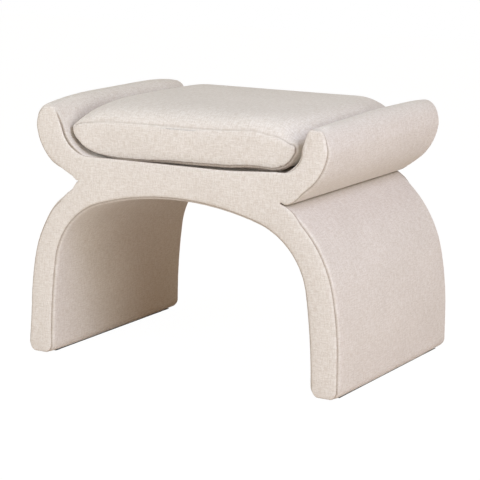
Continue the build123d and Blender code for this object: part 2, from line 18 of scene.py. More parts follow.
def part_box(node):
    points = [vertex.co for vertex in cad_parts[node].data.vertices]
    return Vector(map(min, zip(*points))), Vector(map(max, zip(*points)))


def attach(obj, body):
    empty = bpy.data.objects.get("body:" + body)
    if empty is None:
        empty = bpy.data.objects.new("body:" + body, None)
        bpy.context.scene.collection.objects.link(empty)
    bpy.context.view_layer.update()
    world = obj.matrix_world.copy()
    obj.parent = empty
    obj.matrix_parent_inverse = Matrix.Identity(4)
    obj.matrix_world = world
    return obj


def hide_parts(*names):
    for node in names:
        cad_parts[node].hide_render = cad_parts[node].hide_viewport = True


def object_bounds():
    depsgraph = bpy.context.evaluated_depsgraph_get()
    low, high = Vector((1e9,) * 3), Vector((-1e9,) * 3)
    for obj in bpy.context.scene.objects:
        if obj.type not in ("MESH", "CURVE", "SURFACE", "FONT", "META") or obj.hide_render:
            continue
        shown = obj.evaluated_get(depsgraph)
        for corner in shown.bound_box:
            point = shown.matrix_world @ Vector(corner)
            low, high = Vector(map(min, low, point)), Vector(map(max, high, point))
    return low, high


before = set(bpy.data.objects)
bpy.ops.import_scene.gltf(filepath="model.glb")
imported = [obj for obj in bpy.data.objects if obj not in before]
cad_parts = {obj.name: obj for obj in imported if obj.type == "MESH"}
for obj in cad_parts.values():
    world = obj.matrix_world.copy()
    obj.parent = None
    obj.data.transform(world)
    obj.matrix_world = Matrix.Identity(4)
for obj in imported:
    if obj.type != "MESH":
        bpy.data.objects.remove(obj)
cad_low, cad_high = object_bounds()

MM = 0.001
print("CAD box in metres:", [round(v, 4) for v in cad_low], [round(v, 4) for v in cad_high])

# %% [markdown]
# ## Camera
# The picture was taken from the front right, from above the seat, with a long lens. The camera could be
# placed by its coordinates. Here it has an azimuth, an elevation and a distance from a point in the
# middle of the stool, because those are the numbers that a photographer would note. A hair of roll and
# shift lines the stool up with the picture.

# %% Place the camera
view_azimuth = radians(30.542)
view_elevation = radians(11.593)
view_roll = radians(0.36)
view_distance = 3.574
view_target = Vector((0, 0, 0.2154))
sensor_width = 36.0
focal_length = 140.73
shift_right = 0.0024
shift_up = 0.0011

towards_eye = Vector((
    sin(view_azimuth) * cos(view_elevation),
    -cos(view_azimuth) * cos(view_elevation),
    sin(view_elevation),
))
level_right = Vector((cos(view_azimuth), sin(view_azimuth), 0))
camera_right = level_right * cos(view_roll) + towards_eye.cross(level_right) * sin(view_roll)
camera_up = towards_eye.cross(camera_right)
camera = bpy.data.objects.new("camera", bpy.data.cameras.new("camera"))
bpy.context.scene.collection.objects.link(camera)
camera_turn = Matrix((camera_right, camera_up, towards_eye)).transposed().to_4x4()
camera.matrix_world = Matrix.Translation(view_target + towards_eye * view_distance) @ camera_turn
camera.data.sensor_width = sensor_width
camera.data.lens = focal_length
camera.data.shift_x = shift_right
camera.data.shift_y = shift_up
bpy.context.scene.camera = camera
print("camera at", [round(v, 3) for v in camera.location])

# %% [markdown]
# ## Light and floor
# The stool stands in a bright white studio. A wide softbox to the front left makes the front panel the
# brightest face. Another stands far to the right: it lights the right sides and reaches under the arch,
# so half of the far leg is bright and half is in shade. Two more hang high. An image of a room could
# light the scene, but lamps can be moved one at a time until each face has its tone. They are a little
# cool and the fill that comes from all round is warm, which is why the shaded cloth turns brown. The
# floor is pale and glows for the camera, so it stays white and takes only a faint shadow.

# %% Hang the softboxes
bpy.context.scene.view_settings.view_transform = "Standard"


def softbox(name, place, aim, size, power, tint):
    """A square area lamp that looks from its place at an aim point."""
    lamp = bpy.data.lights.new(name, "AREA")
    lamp.shape = "SQUARE"
    lamp.size = size
    lamp.energy = power
    lamp.color = tint
    holder = bpy.data.objects.new(name, lamp)
    bpy.context.scene.collection.objects.link(holder)
    direction = Vector(aim) - Vector(place)
    holder.matrix_world = Matrix.Translation(place) @ direction.to_track_quat("-Z", "Y").to_matrix().to_4x4()
    return holder


stool_middle = (0, 0, 0.25)
softbox("front_softbox", (-0.9, -2.9, 1.5), stool_middle, 1.8, 63, (0.82, 0.92, 1.0))
softbox("right_softbox", (5.4, -2.1, 1.75), stool_middle, 2.2, 113, (0.94, 1.0, 0.985))
softbox("high_softbox", (2.4, -0.9, 2.2), stool_middle, 1.2, 44, (0.67, 0.745, 1.0))
softbox("overhead_softbox", (0.0, 0.4, 2.8), stool_middle, 2.0, 13, (0.70, 0.98, 1.0))

# %% Light the world and lay the floor
world_strength = 0.265
world_tint = (1.0, 0.65, 0.36, 1)
pure_white = (1, 1, 1, 1)
floor_size = 12.0
floor_paint = (0.72, 0.63, 0.54, 1)
floor_glow = 0.94
white_glow = 1.05


def seen_directly(nodes, links):
    """One for rays that show the background: camera, glossy and transmission rays."""
    paths = nodes.new("ShaderNodeLightPath")
    seen = paths.outputs["Is Camera Ray"]
    for ray in ("Is Glossy Ray", "Is Transmission Ray"):
        either = nodes.new("ShaderNodeMath")
        either.operation = "MAXIMUM"
        links.new(seen, either.inputs[0])
        links.new(paths.outputs[ray], either.inputs[1])
        seen = either.outputs[0]
    return seen


world = bpy.data.worlds.new("studio")
world.use_nodes = True
bpy.context.scene.world = world
sky, air = world.node_tree.nodes, world.node_tree.links
sky["Background"].inputs["Color"].default_value = world_tint
sky["Background"].inputs["Strength"].default_value = world_strength
backdrop = sky.new("ShaderNodeBackground")
backdrop.inputs["Color"].default_value = pure_white
choice = sky.new("ShaderNodeMixShader")
air.new(seen_directly(sky, air), choice.inputs[0])
air.new(sky["Background"].outputs[0], choice.inputs[1])
air.new(backdrop.outputs[0], choice.inputs[2])
air.new(choice.outputs[0], sky["World Output"].inputs["Surface"])

floor_finish = bpy.data.materials.new("pale_floor")
floor_finish.use_nodes = True
nodes, links = floor_finish.node_tree.nodes, floor_finish.node_tree.links
paint = nodes["Principled BSDF"]
paint.inputs["Base Color"].default_value = floor_paint
paint.inputs["Roughness"].default_value = 0.9
glow = nodes.new("ShaderNodeEmission")
glow.inputs["Color"].default_value = pure_white
glow.inputs["Strength"].default_value = white_glow
share = nodes.new("ShaderNodeMath")
share.operation = "MULTIPLY"
links.new(seen_directly(nodes, links), share.inputs[0])
share.inputs[1].default_value = floor_glow
floor_mix = nodes.new("ShaderNodeMixShader")
links.new(share.outputs[0], floor_mix.inputs[0])
links.new(paint.outputs[0], floor_mix.inputs[1])
links.new(glow.outputs[0], floor_mix.inputs[2])
links.new(floor_mix.outputs[0], nodes["Material Output"].inputs["Surface"])

floor_mesh = bpy.data.meshes.new("floor")
bm = bmesh.new()
bmesh.ops.create_grid(bm, x_segments=1, y_segments=1, size=floor_size / 2)
bm.to_mesh(floor_mesh)
bm.free()
floor = bpy.data.objects.new("floor", floor_mesh)
bpy.context.scene.collection.objects.link(floor)
floor_mesh.materials.append(floor_finish)
print("floor", floor_size, "m square, four softboxes")

# %% [markdown]
# ## The outline of the stool
# From the front the stool is a chain of arcs and short straight runs: down the side of the arch, round
# the foot, up the leg to the crease, out and over the wing, down into the scoop and along the deck. It
# could be traced as a free curve, but arcs with named radii are easier to change. Every cover follows
# this one chain, so it is written once as a list of moves from the top of the arch to the middle of the
# deck. A bend turns about a center, and a run goes straight. Where the leg meets the wing, the two pads
# press together and the covers are tucked into a narrow slot. The left half is the same list mirrored and
# walked backwards.

# %% Sizes of the outline, in metres
half_depth = cad_high.y
half_foot = cad_high.x
foot_clearance = 5 * MM
foot_width = 60 * MM
half_arch = half_foot - foot_width
half_wing = half_foot - 24 * MM
wing_top = 490 * MM
deck_level = wing_top - 95 * MM
arch_top = deck_level - 69 * MM
crown_radius = 568 * MM
haunch_radius = 140 * MM
inner_leg_radius = 1145 * MM
knee_level = wing_top - 414 * MM
knee_radius = 606 * MM
knee_sweep = radians(11.3)
shoulder_radius = 223 * MM
toe_radius = 18 * MM
toe_level = foot_clearance + toe_radius
wing_widest = wing_top - 39 * MM
side_radius = 104 * MM
flare_radius = 264 * MM
flare_turn = radians(50.5)
crease_radius = 1 * MM
tuck_angle = radians(158.6)
tuck_depth = 11 * MM
lip_radius = 12.5 * MM
tip_radius = 30 * MM
wing_lean = radians(16)
bowl_radius = 57 * MM


# %% Find the centers of the arcs
def polar(center, radius, angle):
    """Point at a distance and an angle from a center, in the plane of the outline."""
    return Vector((center.x + radius * cos(angle), 0, center.z + radius * sin(angle)))


def bearing(center, point):
    """Angle from a center to a point, in the plane of the outline."""
    return atan2(point.z - center.z, point.x - center.x)


def right_meeting(center_a, reach_a, center_b, reach_b):
    """The meeting point of two circles that lies further to the right."""
    gap = (center_b - center_a).length
    along = (gap**2 + reach_a**2 - reach_b**2) / (2 * gap)
    swing = atan2(sqrt(reach_a**2 - along**2), along)
    heading = bearing(center_a, center_b)
    both = (polar(center_a, reach_a, heading + swing), polar(center_a, reach_a, heading - swing))
    return max(both, key=lambda point: point.x)


crown = Vector((0, 0, arch_top - crown_radius))
inner_leg = Vector((half_arch - inner_leg_radius, 0, toe_level))
haunch = right_meeting(crown, crown_radius - haunch_radius, inner_leg, inner_leg_radius - haunch_radius)
knee = Vector((half_foot - knee_radius, 0, knee_level))
shoulder = polar(knee, knee_radius - shoulder_radius, knee_sweep)
side = Vector((half_wing - side_radius, 0, wing_widest))
flare = polar(side, flare_radius - side_radius, pi - flare_turn)
crease = right_meeting(shoulder, shoulder_radius + crease_radius, flare, flare_radius + crease_radius)
tip = Vector((half_wing - tip_radius, 0, wing_top - tip_radius))
wall_top = polar(tip, tip_radius, pi - wing_lean)
wall_foot_level = deck_level + bowl_radius * (1 - sin(wing_lean))
wall_foot = Vector((wall_top.x - (wall_top.z - wall_foot_level) * tan(wing_lean), 0, wall_foot_level))
bowl = polar(wall_foot, bowl_radius, pi - wing_lean)
print("crease at", round(crease.x, 4), round(crease.z, 4), "bowl at", round(bowl.x, 4), round(bowl.z, 4))

# %% Tuck the crease
shoulder_end = bearing(shoulder, crease)
flare_start = bearing(flare, crease)
upward = tuck_angle - pi / 2
brow_start = shoulder_end - lip_radius * tan((upward - shoulder_end) / 2) / shoulder_radius
brow = polar(shoulder, shoulder_radius - lip_radius, brow_start)
lip_end = flare_start + lip_radius * tan((flare_start - upward + pi) / 2) / flare_radius
lip = polar(flare, flare_radius - lip_radius, lip_end)
tuck_floor = polar(brow, lip_radius, upward)
tuck_roof = polar(lip, lip_radius, upward - pi)
into_tuck = polar(Vector((0, 0, 0)), 1.0, tuck_angle)
out_of_floor = polar(Vector((0, 0, 0)), 1.0, upward)
tuck_radius = (tuck_roof - tuck_floor).dot(out_of_floor) / 2
tuck_end = tuck_floor + into_tuck * tuck_depth + out_of_floor * tuck_radius
print("crease tuck", round(2 * tuck_radius / MM, 2), "mm wide")
print("crease tuck ends at", round(tuck_end.x, 4), round(tuck_end.z, 4))

# %% List the moves of the right half
Bend = namedtuple("Bend", "center turn")
Run = namedtuple("Run", "step")
crown_end = bearing(crown, haunch)
haunch_end = bearing(inner_leg, haunch)
outline = {
    "crown": Bend(crown, crown_end - pi / 2),
    "haunch": Bend(haunch, haunch_end - crown_end),
    "inner_leg": Bend(inner_leg, -haunch_end),
    "inner_toe": Bend(Vector((half_arch + toe_radius, 0, toe_level)), pi / 2),
    "sole": Run(Vector((foot_width - 2 * toe_radius, 0, 0))),
    "outer_toe": Bend(Vector((half_foot - toe_radius, 0, toe_level)), pi / 2),
    "shin": Run(Vector((0, 0, knee_level - toe_level))),
    "knee": Bend(knee, knee_sweep),
    "shoulder": Bend(shoulder, brow_start - knee_sweep),
    "brow": Bend(brow, upward - brow_start),
    "tuck_in": Run(into_tuck * tuck_depth),
    "crease": Bend(tuck_end, -pi),
    "tuck_out": Run(tuck_roof - tuck_end - out_of_floor * tuck_radius),
    "lip": Bend(lip, lip_end - upward + pi),
    "flare": Bend(flare, -flare_turn - lip_end),
    "side": Bend(side, flare_turn),
    "tip_rise": Run(Vector((0, 0, tip.z - wing_widest))),
    "tip": Bend(tip, pi - wing_lean),
    "wall": Run(wall_foot - wall_top),
    "bowl": Bend(bowl, wing_lean - pi / 2),
    "deck": Run(Vector((-bowl.x, 0, 0))),
}


# %% Walk the moves
def turned(vector, move, share=1.0):
    """A direction after a share of a move."""
    if isinstance(move, Bend):
        return Matrix.Rotation(-move.turn * share, 3, "Y") @ vector
    return vector.copy()


def advanced(point, move, share=1.0):
    """A point after a share of a move."""
    if isinstance(move, Bend):
        return move.center + turned(point - move.center, move, share)
    return point + move.step * share


def move_length(point, move):
    """How far a point travels in a move."""
    if isinstance(move, Bend):
        return abs(move.turn) * (point - move.center).length
    return move.step.length


def flipped(vector):
    """The same point or direction on the other half of the stool."""
    return Vector((-vector.x, vector.y, vector.z))


def backwards(moves):
    """The mirrored moves, walked from their end to their start."""
    other = []
    for move in reversed(moves):
        if isinstance(move, Bend):
            other.append(Bend(flipped(move.center), move.turn))
        else:
            other.append(Run(Vector((move.step.x, move.step.y, -move.step.z))))
    return other


def walked(point, normal, moves):
    """Where a point and the outward normal end after some moves."""
    for move in moves:
        point, normal = advanced(point, move), turned(normal, move)
    return point, normal


starts = {}
place, outward = Vector((0, 0, arch_top)), Vector((0, 0, -1))
for title, move in outline.items():
    starts[title] = (place, outward)
    place, outward = walked(place, outward, [move])
closing_error = (place - Vector((0, 0, deck_level))).length
print("outline closes to", round(closing_error / MM, 4), "mm over", len(outline), "moves")

# %% [markdown]
# ## Linen weave
# The cover is a plain weave in warm cream with uneven yarn: thick slubs run both ways and catch the
# light, and the odd yarn is paler or browner. A picture of cloth could be tiled over it, but a pattern
# made from noise never repeats and stays sharp at any distance. Every fabric piece carries a UV map in
# metres, so the yarns keep one size on all of them and follow the cloth round each bend. An attribute
# for seams tells the shader how close a stitched seam is. It darkens the stitch line, partly as thread
# and partly as painted shade in its groove, and it also carries painted shade deep in the crease slots
# and under the cushion's hanging front.


# %% Small helpers for shader nodes
def start_material(name):
    """A new node material with its nodes, links and main shader."""
    finish = bpy.data.materials.new(name)
    finish.use_nodes = True
    tree = finish.node_tree
    return finish, tree.nodes, tree.links, tree.nodes["Principled BSDF"]


def math_node(nodes, links, operation, first, second=None):
    """A math node on sockets or plain numbers."""
    node = nodes.new("ShaderNodeMath")
    node.operation = operation
    for socket, value in zip(node.inputs, (first, second)):
        if value is None:
            continue
        if isinstance(value, (int, float)):
            socket.default_value = value
        else:
            links.new(value, socket)
    return node.outputs[0]


def noise_node(nodes, links, vector, scale, detail, stretch=(1, 1, 1), roughness=0.5):
    """Noise between 0 and 1 whose grains can be stretched along an axis."""
    spread = nodes.new("ShaderNodeMapping")
    spread.inputs["Scale"].default_value = stretch
    links.new(vector, spread.inputs["Vector"])
    grain = nodes.new("ShaderNodeTexNoise")
    grain.inputs["Scale"].default_value = scale
    grain.inputs["Detail"].default_value = detail
    grain.inputs["Roughness"].default_value = roughness
    links.new(spread.outputs[0], grain.inputs["Vector"])
    return grain.outputs["Fac"]


def ramp_node(nodes, links, value, low, high, low_color, high_color):
    """Two colors blended between two levels of a value."""
    ramp = nodes.new("ShaderNodeValToRGB")
    ramp.color_ramp.elements[0].position = low
    ramp.color_ramp.elements[1].position = high
    ramp.color_ramp.elements[0].color = (*low_color, 1)
    ramp.color_ramp.elements[1].color = (*high_color, 1)
    links.new(value, ramp.inputs["Fac"])
    return ramp.outputs["Color"]


def mix_color(nodes, links, factor, first, second, blend="MIX"):
    """Two colors mixed by a factor; each may be a socket or a plain color."""
    mix = nodes.new("ShaderNodeMix")
    mix.data_type = "RGBA"
    mix.blend_type = blend
    for socket, value in ((mix.inputs[0], factor), (mix.inputs[6], first), (mix.inputs[7], second)):
        if isinstance(value, (int, float)):
            socket.default_value = value
        elif isinstance(value, tuple):
            socket.default_value = (*value, 1)
        else:
            links.new(value, socket)
    return mix.outputs[2]


def bump_node(nodes, links, height, strength, distance):
    """A surface normal from a height."""
    bump = nodes.new("ShaderNodeBump")
    bump.inputs["Strength"].default_value = strength
    bump.inputs["Distance"].default_value = distance
    links.new(height, bump.inputs["Height"])
    return bump.outputs["Normal"]


def weave_uv(nodes):
    """The UV map called weave, which every fabric piece carries."""
    chart = nodes.new("ShaderNodeUVMap")
    chart.uv_map = "weave"
    return chart.outputs["UV"]


def wave_node(nodes, links, value, wavelength):
    """A sine wave along a value, with a length in metres."""
    phase = math_node(nodes, links, "MULTIPLY", value, 2 * pi / wavelength)
    return math_node(nodes, links, "SINE", phase)


def scaled_node(nodes, links, value, factor, base):
    """A value times a factor, on top of a base."""
    return math_node(nodes, links, "ADD", math_node(nodes, links, "MULTIPLY", value, factor), base)


# %% Weave the linen
yarn_pitch = 1.3 * MM
linen_pale = (0.784, 0.733, 0.682)
linen_warm = (0.676, 0.609, 0.543)
# The seam tone is the dark of the stitch lines, partly thread and partly painted shade in their grooves, and
# it is the painted shade deep in the crease slots and under the cushion's hanging front.
seam_and_shade_tone = (0.30, 0.225, 0.165)
seam_and_shade_strength = 1.5
crossing_height = 0.12
fleck_height = 0.35


def linen():
    """Cream plain weave with slubs, from the UV map called weave."""
    finish, nodes, links, cloth = start_material("linen")
    flat = weave_uv(nodes)
    warp_slub = noise_node(nodes, links, flat, 1.0, 2.0, (430, 75, 1), 0.6)
    weft_slub = noise_node(nodes, links, flat, 1.0, 2.0, (75, 430, 1), 0.6)
    fleck = noise_node(nodes, links, flat, 420.0, 2.0)
    patch = noise_node(nodes, links, flat, 11.0, 2.0)
    slub = math_node(nodes, links, "ADD", warp_slub, weft_slub)
    slub = math_node(nodes, links, "MULTIPLY", slub, 0.5)

    split = nodes.new("ShaderNodeSeparateXYZ")
    links.new(flat, split.inputs[0])
    over = wave_node(nodes, links, split.outputs[0], 2 * yarn_pitch)
    under = wave_node(nodes, links, split.outputs[1], 2 * yarn_pitch)
    crossing = math_node(nodes, links, "MULTIPLY", over, under)
    crossing = math_node(nodes, links, "MULTIPLY", crossing, crossing_height)

    yarn_color = ramp_node(nodes, links, slub, 0.40, 0.60, linen_warm, linen_pale)
    fleck_tone = ramp_node(nodes, links, fleck, 0.30, 0.70, (0.915, 0.906, 0.898), (1.048, 1.048, 1.048))
    color = mix_color(nodes, links, 1.0, yarn_color, fleck_tone, "MULTIPLY")
    patch_tone = ramp_node(nodes, links, patch, 0.3, 0.7, (0.975, 0.97, 0.965), (1.02, 1.02, 1.02))
    color = mix_color(nodes, links, 1.0, color, patch_tone, "MULTIPLY")

    # Painted shade: the seam attribute mixes the dark seam tone into the cloth along stitch grooves, in the
    # crease slots and under the cushion's front.
    seam_and_shade = nodes.new("ShaderNodeAttribute")
    seam_and_shade.attribute_name = "seam_and_shade"
    stitch_and_shade = math_node(nodes, links, "MULTIPLY", seam_and_shade.outputs["Fac"], fleck)
    seam_shade = math_node(nodes, links, "MULTIPLY", stitch_and_shade, seam_and_shade_strength)
    color = mix_color(nodes, links, seam_shade, color, seam_and_shade_tone)
    links.new(color, cloth.inputs["Base Color"])

    yarn_relief = math_node(nodes, links, "ADD", slub, crossing)
    fleck_relief = math_node(nodes, links, "MULTIPLY", fleck, fleck_height)
    height = math_node(nodes, links, "ADD", yarn_relief, fleck_relief)
    links.new(bump_node(nodes, links, height, 0.5, 0.9 * MM), cloth.inputs["Normal"])
    links.new(scaled_node(nodes, links, slub, -0.15, 0.98), cloth.inputs["Roughness"])
    cloth.inputs["Specular IOR Level"].default_value = 0.2
    cloth.inputs["Sheen Weight"].default_value = 0.18
    cloth.inputs["Sheen Roughness"].default_value = 0.45
    cloth.inputs["Sheen Tint"].default_value = (1.0, 0.97, 0.94, 1)
    return finish


linen_finish = linen()
print("linen has", len(linen_finish.node_tree.nodes), "nodes")

# %% [markdown]
# ## Padded strips
# The seat, the legs and the arch are strips of padded cloth that run round the outline. A strip could be
# lofted or drawn as a curve, but the plainest way is the one that an upholsterer would know: take the
# section of the pad across the stool's depth, and carry it along the outline. Each step round a bend is
# an extrude and a rotation about the arc's center. The section has a soft crown, round edges and a short
# tuck into the seam at each side, and a mitred back that leaves room for the front and rear panels.

# %% Draw the section of a padded strip
edge_radius = 10 * MM
face_half = half_depth - edge_radius
seam_angle = radians(60)
pad_depth = 11 * MM
frame_half = half_depth - pad_depth
tuck = 1.6 * MM
edge_shares = (1.0, 0.82, 0.62, 0.42, 0.2, 0.0)
face_shares = (0.96, 0.91, 0.84, 0.74, 0.62, 0.48, 0.33, 0.17)


def strip_section():
    """Points (y, rise) of a strip's section: over the face from front seam to rear seam, then the back."""
    seam_y = face_half + edge_radius * sin(seam_angle)
    seam_level = -edge_radius * (1 - cos(seam_angle))
    half = [(seam_y - 1.6 * tuck, seam_level - 1.7 * tuck), (seam_y - 0.5 * tuck, seam_level - tuck)]
    for share in edge_shares:
        angle = seam_angle * share
        half.append((face_half + edge_radius * sin(angle), -edge_radius * (1 - cos(angle))))
    for share in face_shares:
        half.append((face_half * share, 0.0))
    front = [(-y, rise) for y, rise in half]
    rear = [(y, rise) for y, rise in reversed(half)]
    back = [(y, -pad_depth) for y in (frame_half, frame_half / 3, -frame_half / 3, -frame_half)]
    return front + [(0.0, 0.0)] + rear, back


strip_face, strip_back = strip_section()
print("strip section has", len(strip_face), "face points and", len(strip_back), "back points")

# %% Carry the section along the outline
ring_spacing = 3 * MM


def swept_strip(bm, start, normal, moves):
    """Sweep the section along moves. Returns the rings as (vertices, distance along, outward normal)."""
    row = bm.verts.layers.int.new("row")
    section = strip_face + strip_back
    ring = [bm.verts.new(start + normal * rise + Vector((0, y, 0))) for y, rise in section]
    for index, vert in enumerate(ring):
        vert[row] = index
    edges = [bm.edges.new((ring[index - 1], ring[index])) for index in range(len(ring))]
    bmesh.ops.holes_fill(bm, edges=edges, sides=0)
    rings = [(ring, 0.0, normal)]
    along = 0.0
    point = start
    for move in moves:
        length = move_length(point, move)
        steps = max(2, round(length / ring_spacing))
        for _ in range(steps):
            grown = bmesh.ops.extrude_edge_only(bm, edges=edges)["geom"]
            fresh = {item for item in grown if isinstance(item, bmesh.types.BMVert)}
            edges = [e for e in grown if isinstance(e, bmesh.types.BMEdge) and set(e.verts) <= fresh]
            if isinstance(move, Bend):
                bmesh.ops.rotate(bm, verts=list(fresh), cent=move.center,
                                 matrix=Matrix.Rotation(-move.turn / steps, 3, "Y"))
            else:
                bmesh.ops.translate(bm, verts=list(fresh), vec=move.step / steps)
            point, normal = advanced(point, move, 1 / steps), turned(normal, move, 1 / steps)
            along += length / steps
            rings.append((sorted(fresh, key=lambda vert: vert[row]), along, normal))
    bmesh.ops.holes_fill(bm, edges=edges, sides=0)
    return rings


# %% Soften a strip
soft_swell = 0.7 * MM
pucker_depth = 0.45 * MM
pucker_reach = 7 * MM
tuck_thickness = 2.5 * MM
tuck_square = 0.85
far_from_crease = 1.0
sole_press = foot_clearance + 1.6 * MM


def smoothstep(low, high, value):
    """A smooth climb from 0 to 1 between two levels."""
    share = min(1.0, max(0.0, (value - low) / (high - low)))
    return share * share * (3 - 2 * share)


def puckers(place, distance):
    """How far cloth is drawn in beside a seam, at a place and a distance from the stitches."""
    pull = exp(-distance / pucker_reach)
    fine = noise.noise(Vector(place) * 110) + 0.6 * noise.noise(Vector(place) * 240)
    return pull * pucker_depth * (0.4 + fine)


def swell(place):
    """The slow unevenness of hand laid padding."""
    return soft_swell * noise.noise(Vector(place) * 9 + Vector((3.1, 0.7, 5.3)))


def tuck_gap(along, length, creased):
    """Distance along a strip to its nearest end in a crease, or a long way where neither end is in one."""
    ends = zip((along, length - along), creased)
    return min([gap for gap, tucked in ends if tucked], default=far_from_crease)


def soften_strip(rings, crown_of, creased):
    """Move a strip's face: its crown, its swell, the puckers at its seams and its thin ends in a crease."""
    length = rings[-1][1]
    for verts, along, normal in rings:
        gap = tuck_gap(along, length, creased)
        calm = smoothstep(12 * MM, 45 * MM, gap)
        square = tuck_square * (1 - smoothstep(18 * MM, 55 * MM, gap))
        for (y, rise), vert in zip(strip_face, verts):
            middle = 1 - smoothstep(0.55, 1.0, abs(y) / face_half)
            lift = crown_of(vert.co, y) + swell(vert.co) * middle
            lift = lift * calm - puckers(vert.co, half_depth - abs(y)) - rise * square
            vert.co += normal * lift
        for vert in verts[len(strip_face):]:
            vert.co += normal * (pad_depth - tuck_thickness) * (1 - smoothstep(0, 22 * MM, gap))
            under_foot = half_arch + toe_radius < abs(vert.co.x) < half_foot - toe_radius
            if under_foot and vert.co.z < toe_level:
                vert.co.z = sole_press


# %% Part the lips of the left crease
lip_parting = 11 * MM


def part_lips(bm):
    """Open the front end of the left crease to a wide notch, where its two pads stand apart."""
    apex = flipped(tuck_end)
    for vert in bm.verts:
        outward_gap = apex.x - vert.co.x
        rise = vert.co.z - apex.z + outward_gap * tan(pi - tuck_angle)
        opening = smoothstep(0, 14 * MM, outward_gap) * (1 - smoothstep(16 * MM, 75 * MM, outward_gap))
        opening *= (1 - smoothstep(15 * MM, 70 * MM, abs(rise))) * smoothstep(120 * MM, 190 * MM, -vert.co.y)
        vert.co.z += (lip_parting if rise > 0 else -lip_parting) * opening


# %% Finish a fabric piece
def weave_chart(bm, chart_of):
    """Give every corner a UV in metres."""
    layer = bm.loops.layers.uv.new("weave")
    for face in bm.faces:
        for loop in face.loops:
            loop[layer].uv = chart_of(loop.vert)


def finish_piece(name, bm, body, finish, nodes=()):
    """Turn a bmesh into a named piece that rides on a body, stands for CAD nodes and wears a finish."""
    mesh = bpy.data.meshes.new(name)
    bm.to_mesh(mesh)
    bm.free()
    mesh.shade_smooth()
    mesh.materials.append(finish)
    piece = bpy.data.objects.new(name, mesh)
    bpy.context.scene.collection.objects.link(piece)
    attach(piece, body)
    if nodes:
        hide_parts(*nodes)
    print(name, len(mesh.vertices), "vertices", len(mesh.polygons), "faces")
    return piece


# %% Make one padded strip
seam_setback = 1.4 * MM
stitch_fade = 2.2 * MM
wing_hides = 0.75


def seam_show(place):
    """How plainly a seam shows: the soft tops of the wings roll over and hide most of theirs."""
    return 1 - wing_hides * smoothstep(wing_top - 30 * MM, wing_top - 16 * MM, place.z)


def section_lengths():
    """Distance across the cloth at each point of the section, from its middle."""
    points = strip_face + strip_back
    lengths = [0.0]
    for (y, rise), (next_y, next_rise) in zip(points, points[1:]):
        lengths.append(lengths[-1] + hypot(next_y - y, next_rise - rise))
    middle = lengths[len(strip_face) // 2]
    return [value - middle for value in lengths]


def padded_strip(name, start, normal, moves, crown_of, creased, nodes):
    """One padded strip round part of the outline."""
    bm = bmesh.new()
    seam_and_shade = bm.verts.layers.float.new("seam_and_shade")
    rings = swept_strip(bm, start, normal, moves)
    soften_strip(rings, crown_of, creased)
    length = rings[-1][1]
    section = list(zip(strip_face + strip_back, section_lengths()))
    chart = {}
    for verts, along, _ in rings:
        # Painted shade: the cloth deep in a crease tuck takes the dark seam tone, and along the edges the
        # stitch line is darkened partly as thread and partly as painted shade in its groove.
        painted_tuck_shade = 1 - smoothstep(8 * MM, 15 * MM, tuck_gap(along, length, creased))
        for vert, ((y, _), across) in zip(verts, section):
            chart[vert] = (along, across)
            stitched = 1 - smoothstep(0, stitch_fade, half_depth - seam_setback - abs(y))
            vert[seam_and_shade] = max(stitched * seam_show(vert.co), painted_tuck_shade)
    weave_chart(bm, lambda vert: chart[vert])
    part_lips(bm)
    bmesh.ops.recalc_face_normals(bm, faces=bm.faces[:])
    return finish_piece(name, bm, "stool", linen_finish, nodes)


# %% Cover the legs and the arch
hem = 15 * MM
hem_step = Run(Vector((hem, 0, 0)))
left_thinness = 6 * MM
outside_line = 297 * MM
outside_lean = 0.35
lean_level = 150 * MM
side_rise = 1.0 * MM


def left_thin(place):
    """How much thinner the left leg is padded, outside a line that leans inwards above a level."""
    outside = place.x < -outside_line + outside_lean * max(0.0, place.z - lean_level)
    height = smoothstep(0, 100 * MM, place.z) * (1 - smoothstep(250 * MM, 340 * MM, place.z))
    return left_thinness * outside * height


def side_crown(place, y):
    """A shallow crown across the depth, less what the left leg's padding lacks."""
    return side_rise * (1 - min(1.0, abs(y) / face_half) ** 4) - left_thin(place)


leg_titles = ("outer_toe", "shin", "knee", "shoulder", "brow", "tuck_in")
leg_moves = [hem_step] + [outline[title] for title in leg_titles]
leg_start = starts["outer_toe"][0] - hem_step.step
leg_normal = starts["outer_toe"][1]
right_leg = padded_strip("right_leg_panel", leg_start, leg_normal, leg_moves, side_crown, (False, True),
                         ("right_leg_cover", "right_leg_foam"))
leg_end, leg_end_normal = walked(leg_start, leg_normal, leg_moves)
left_leg = padded_strip("left_leg_panel", flipped(leg_end), flipped(leg_end_normal), backwards(leg_moves),
                        side_crown, (True, False), ("left_leg_cover", "left_leg_foam"))

arch_half = [outline[title] for title in ("crown", "haunch", "inner_leg", "inner_toe")] + [hem_step]
arch_end, arch_end_normal = walked(*starts["crown"], arch_half)
arch_moves = backwards(arch_half) + arch_half
arch = padded_strip("arch_panel", flipped(arch_end), flipped(arch_end_normal), arch_moves, side_crown,
                    (False, False), ("arch_cover", "arch_foam"))

# %% Cover the seat and wings
deck_sink = 10 * MM
right_deck_edge = 190 * MM
left_deck_edge = 145 * MM
deck_end = 235 * MM


def wing_share(place):
    """One on top of a wing and zero below it."""
    return smoothstep(deck_level + 40 * MM, wing_top - 8 * MM, place.z)


def deck_share(place):
    """One on the deck under the cushion and zero elsewhere."""
    near = right_deck_edge if place.x > 0 else left_deck_edge
    return (1 - smoothstep(near, deck_end, abs(place.x))) * (place.z > arch_top + 30 * MM)


def wing_ridge(place, y):
    """Rise of a wing's ridge. Both fall to the front and the rear, and the right one is stuffed lower."""
    front = min(1.0, max(0.0, -y / face_half))
    rear = min(1.0, max(0.0, y / face_half))
    if place.x > 0:
        return (-4.0 - 8.0 * front - 5.0 * front**4 - 3.5 * rear**5) * MM
    return (2.2 - 10.2 * front**3 - 9.0 * rear**5) * MM


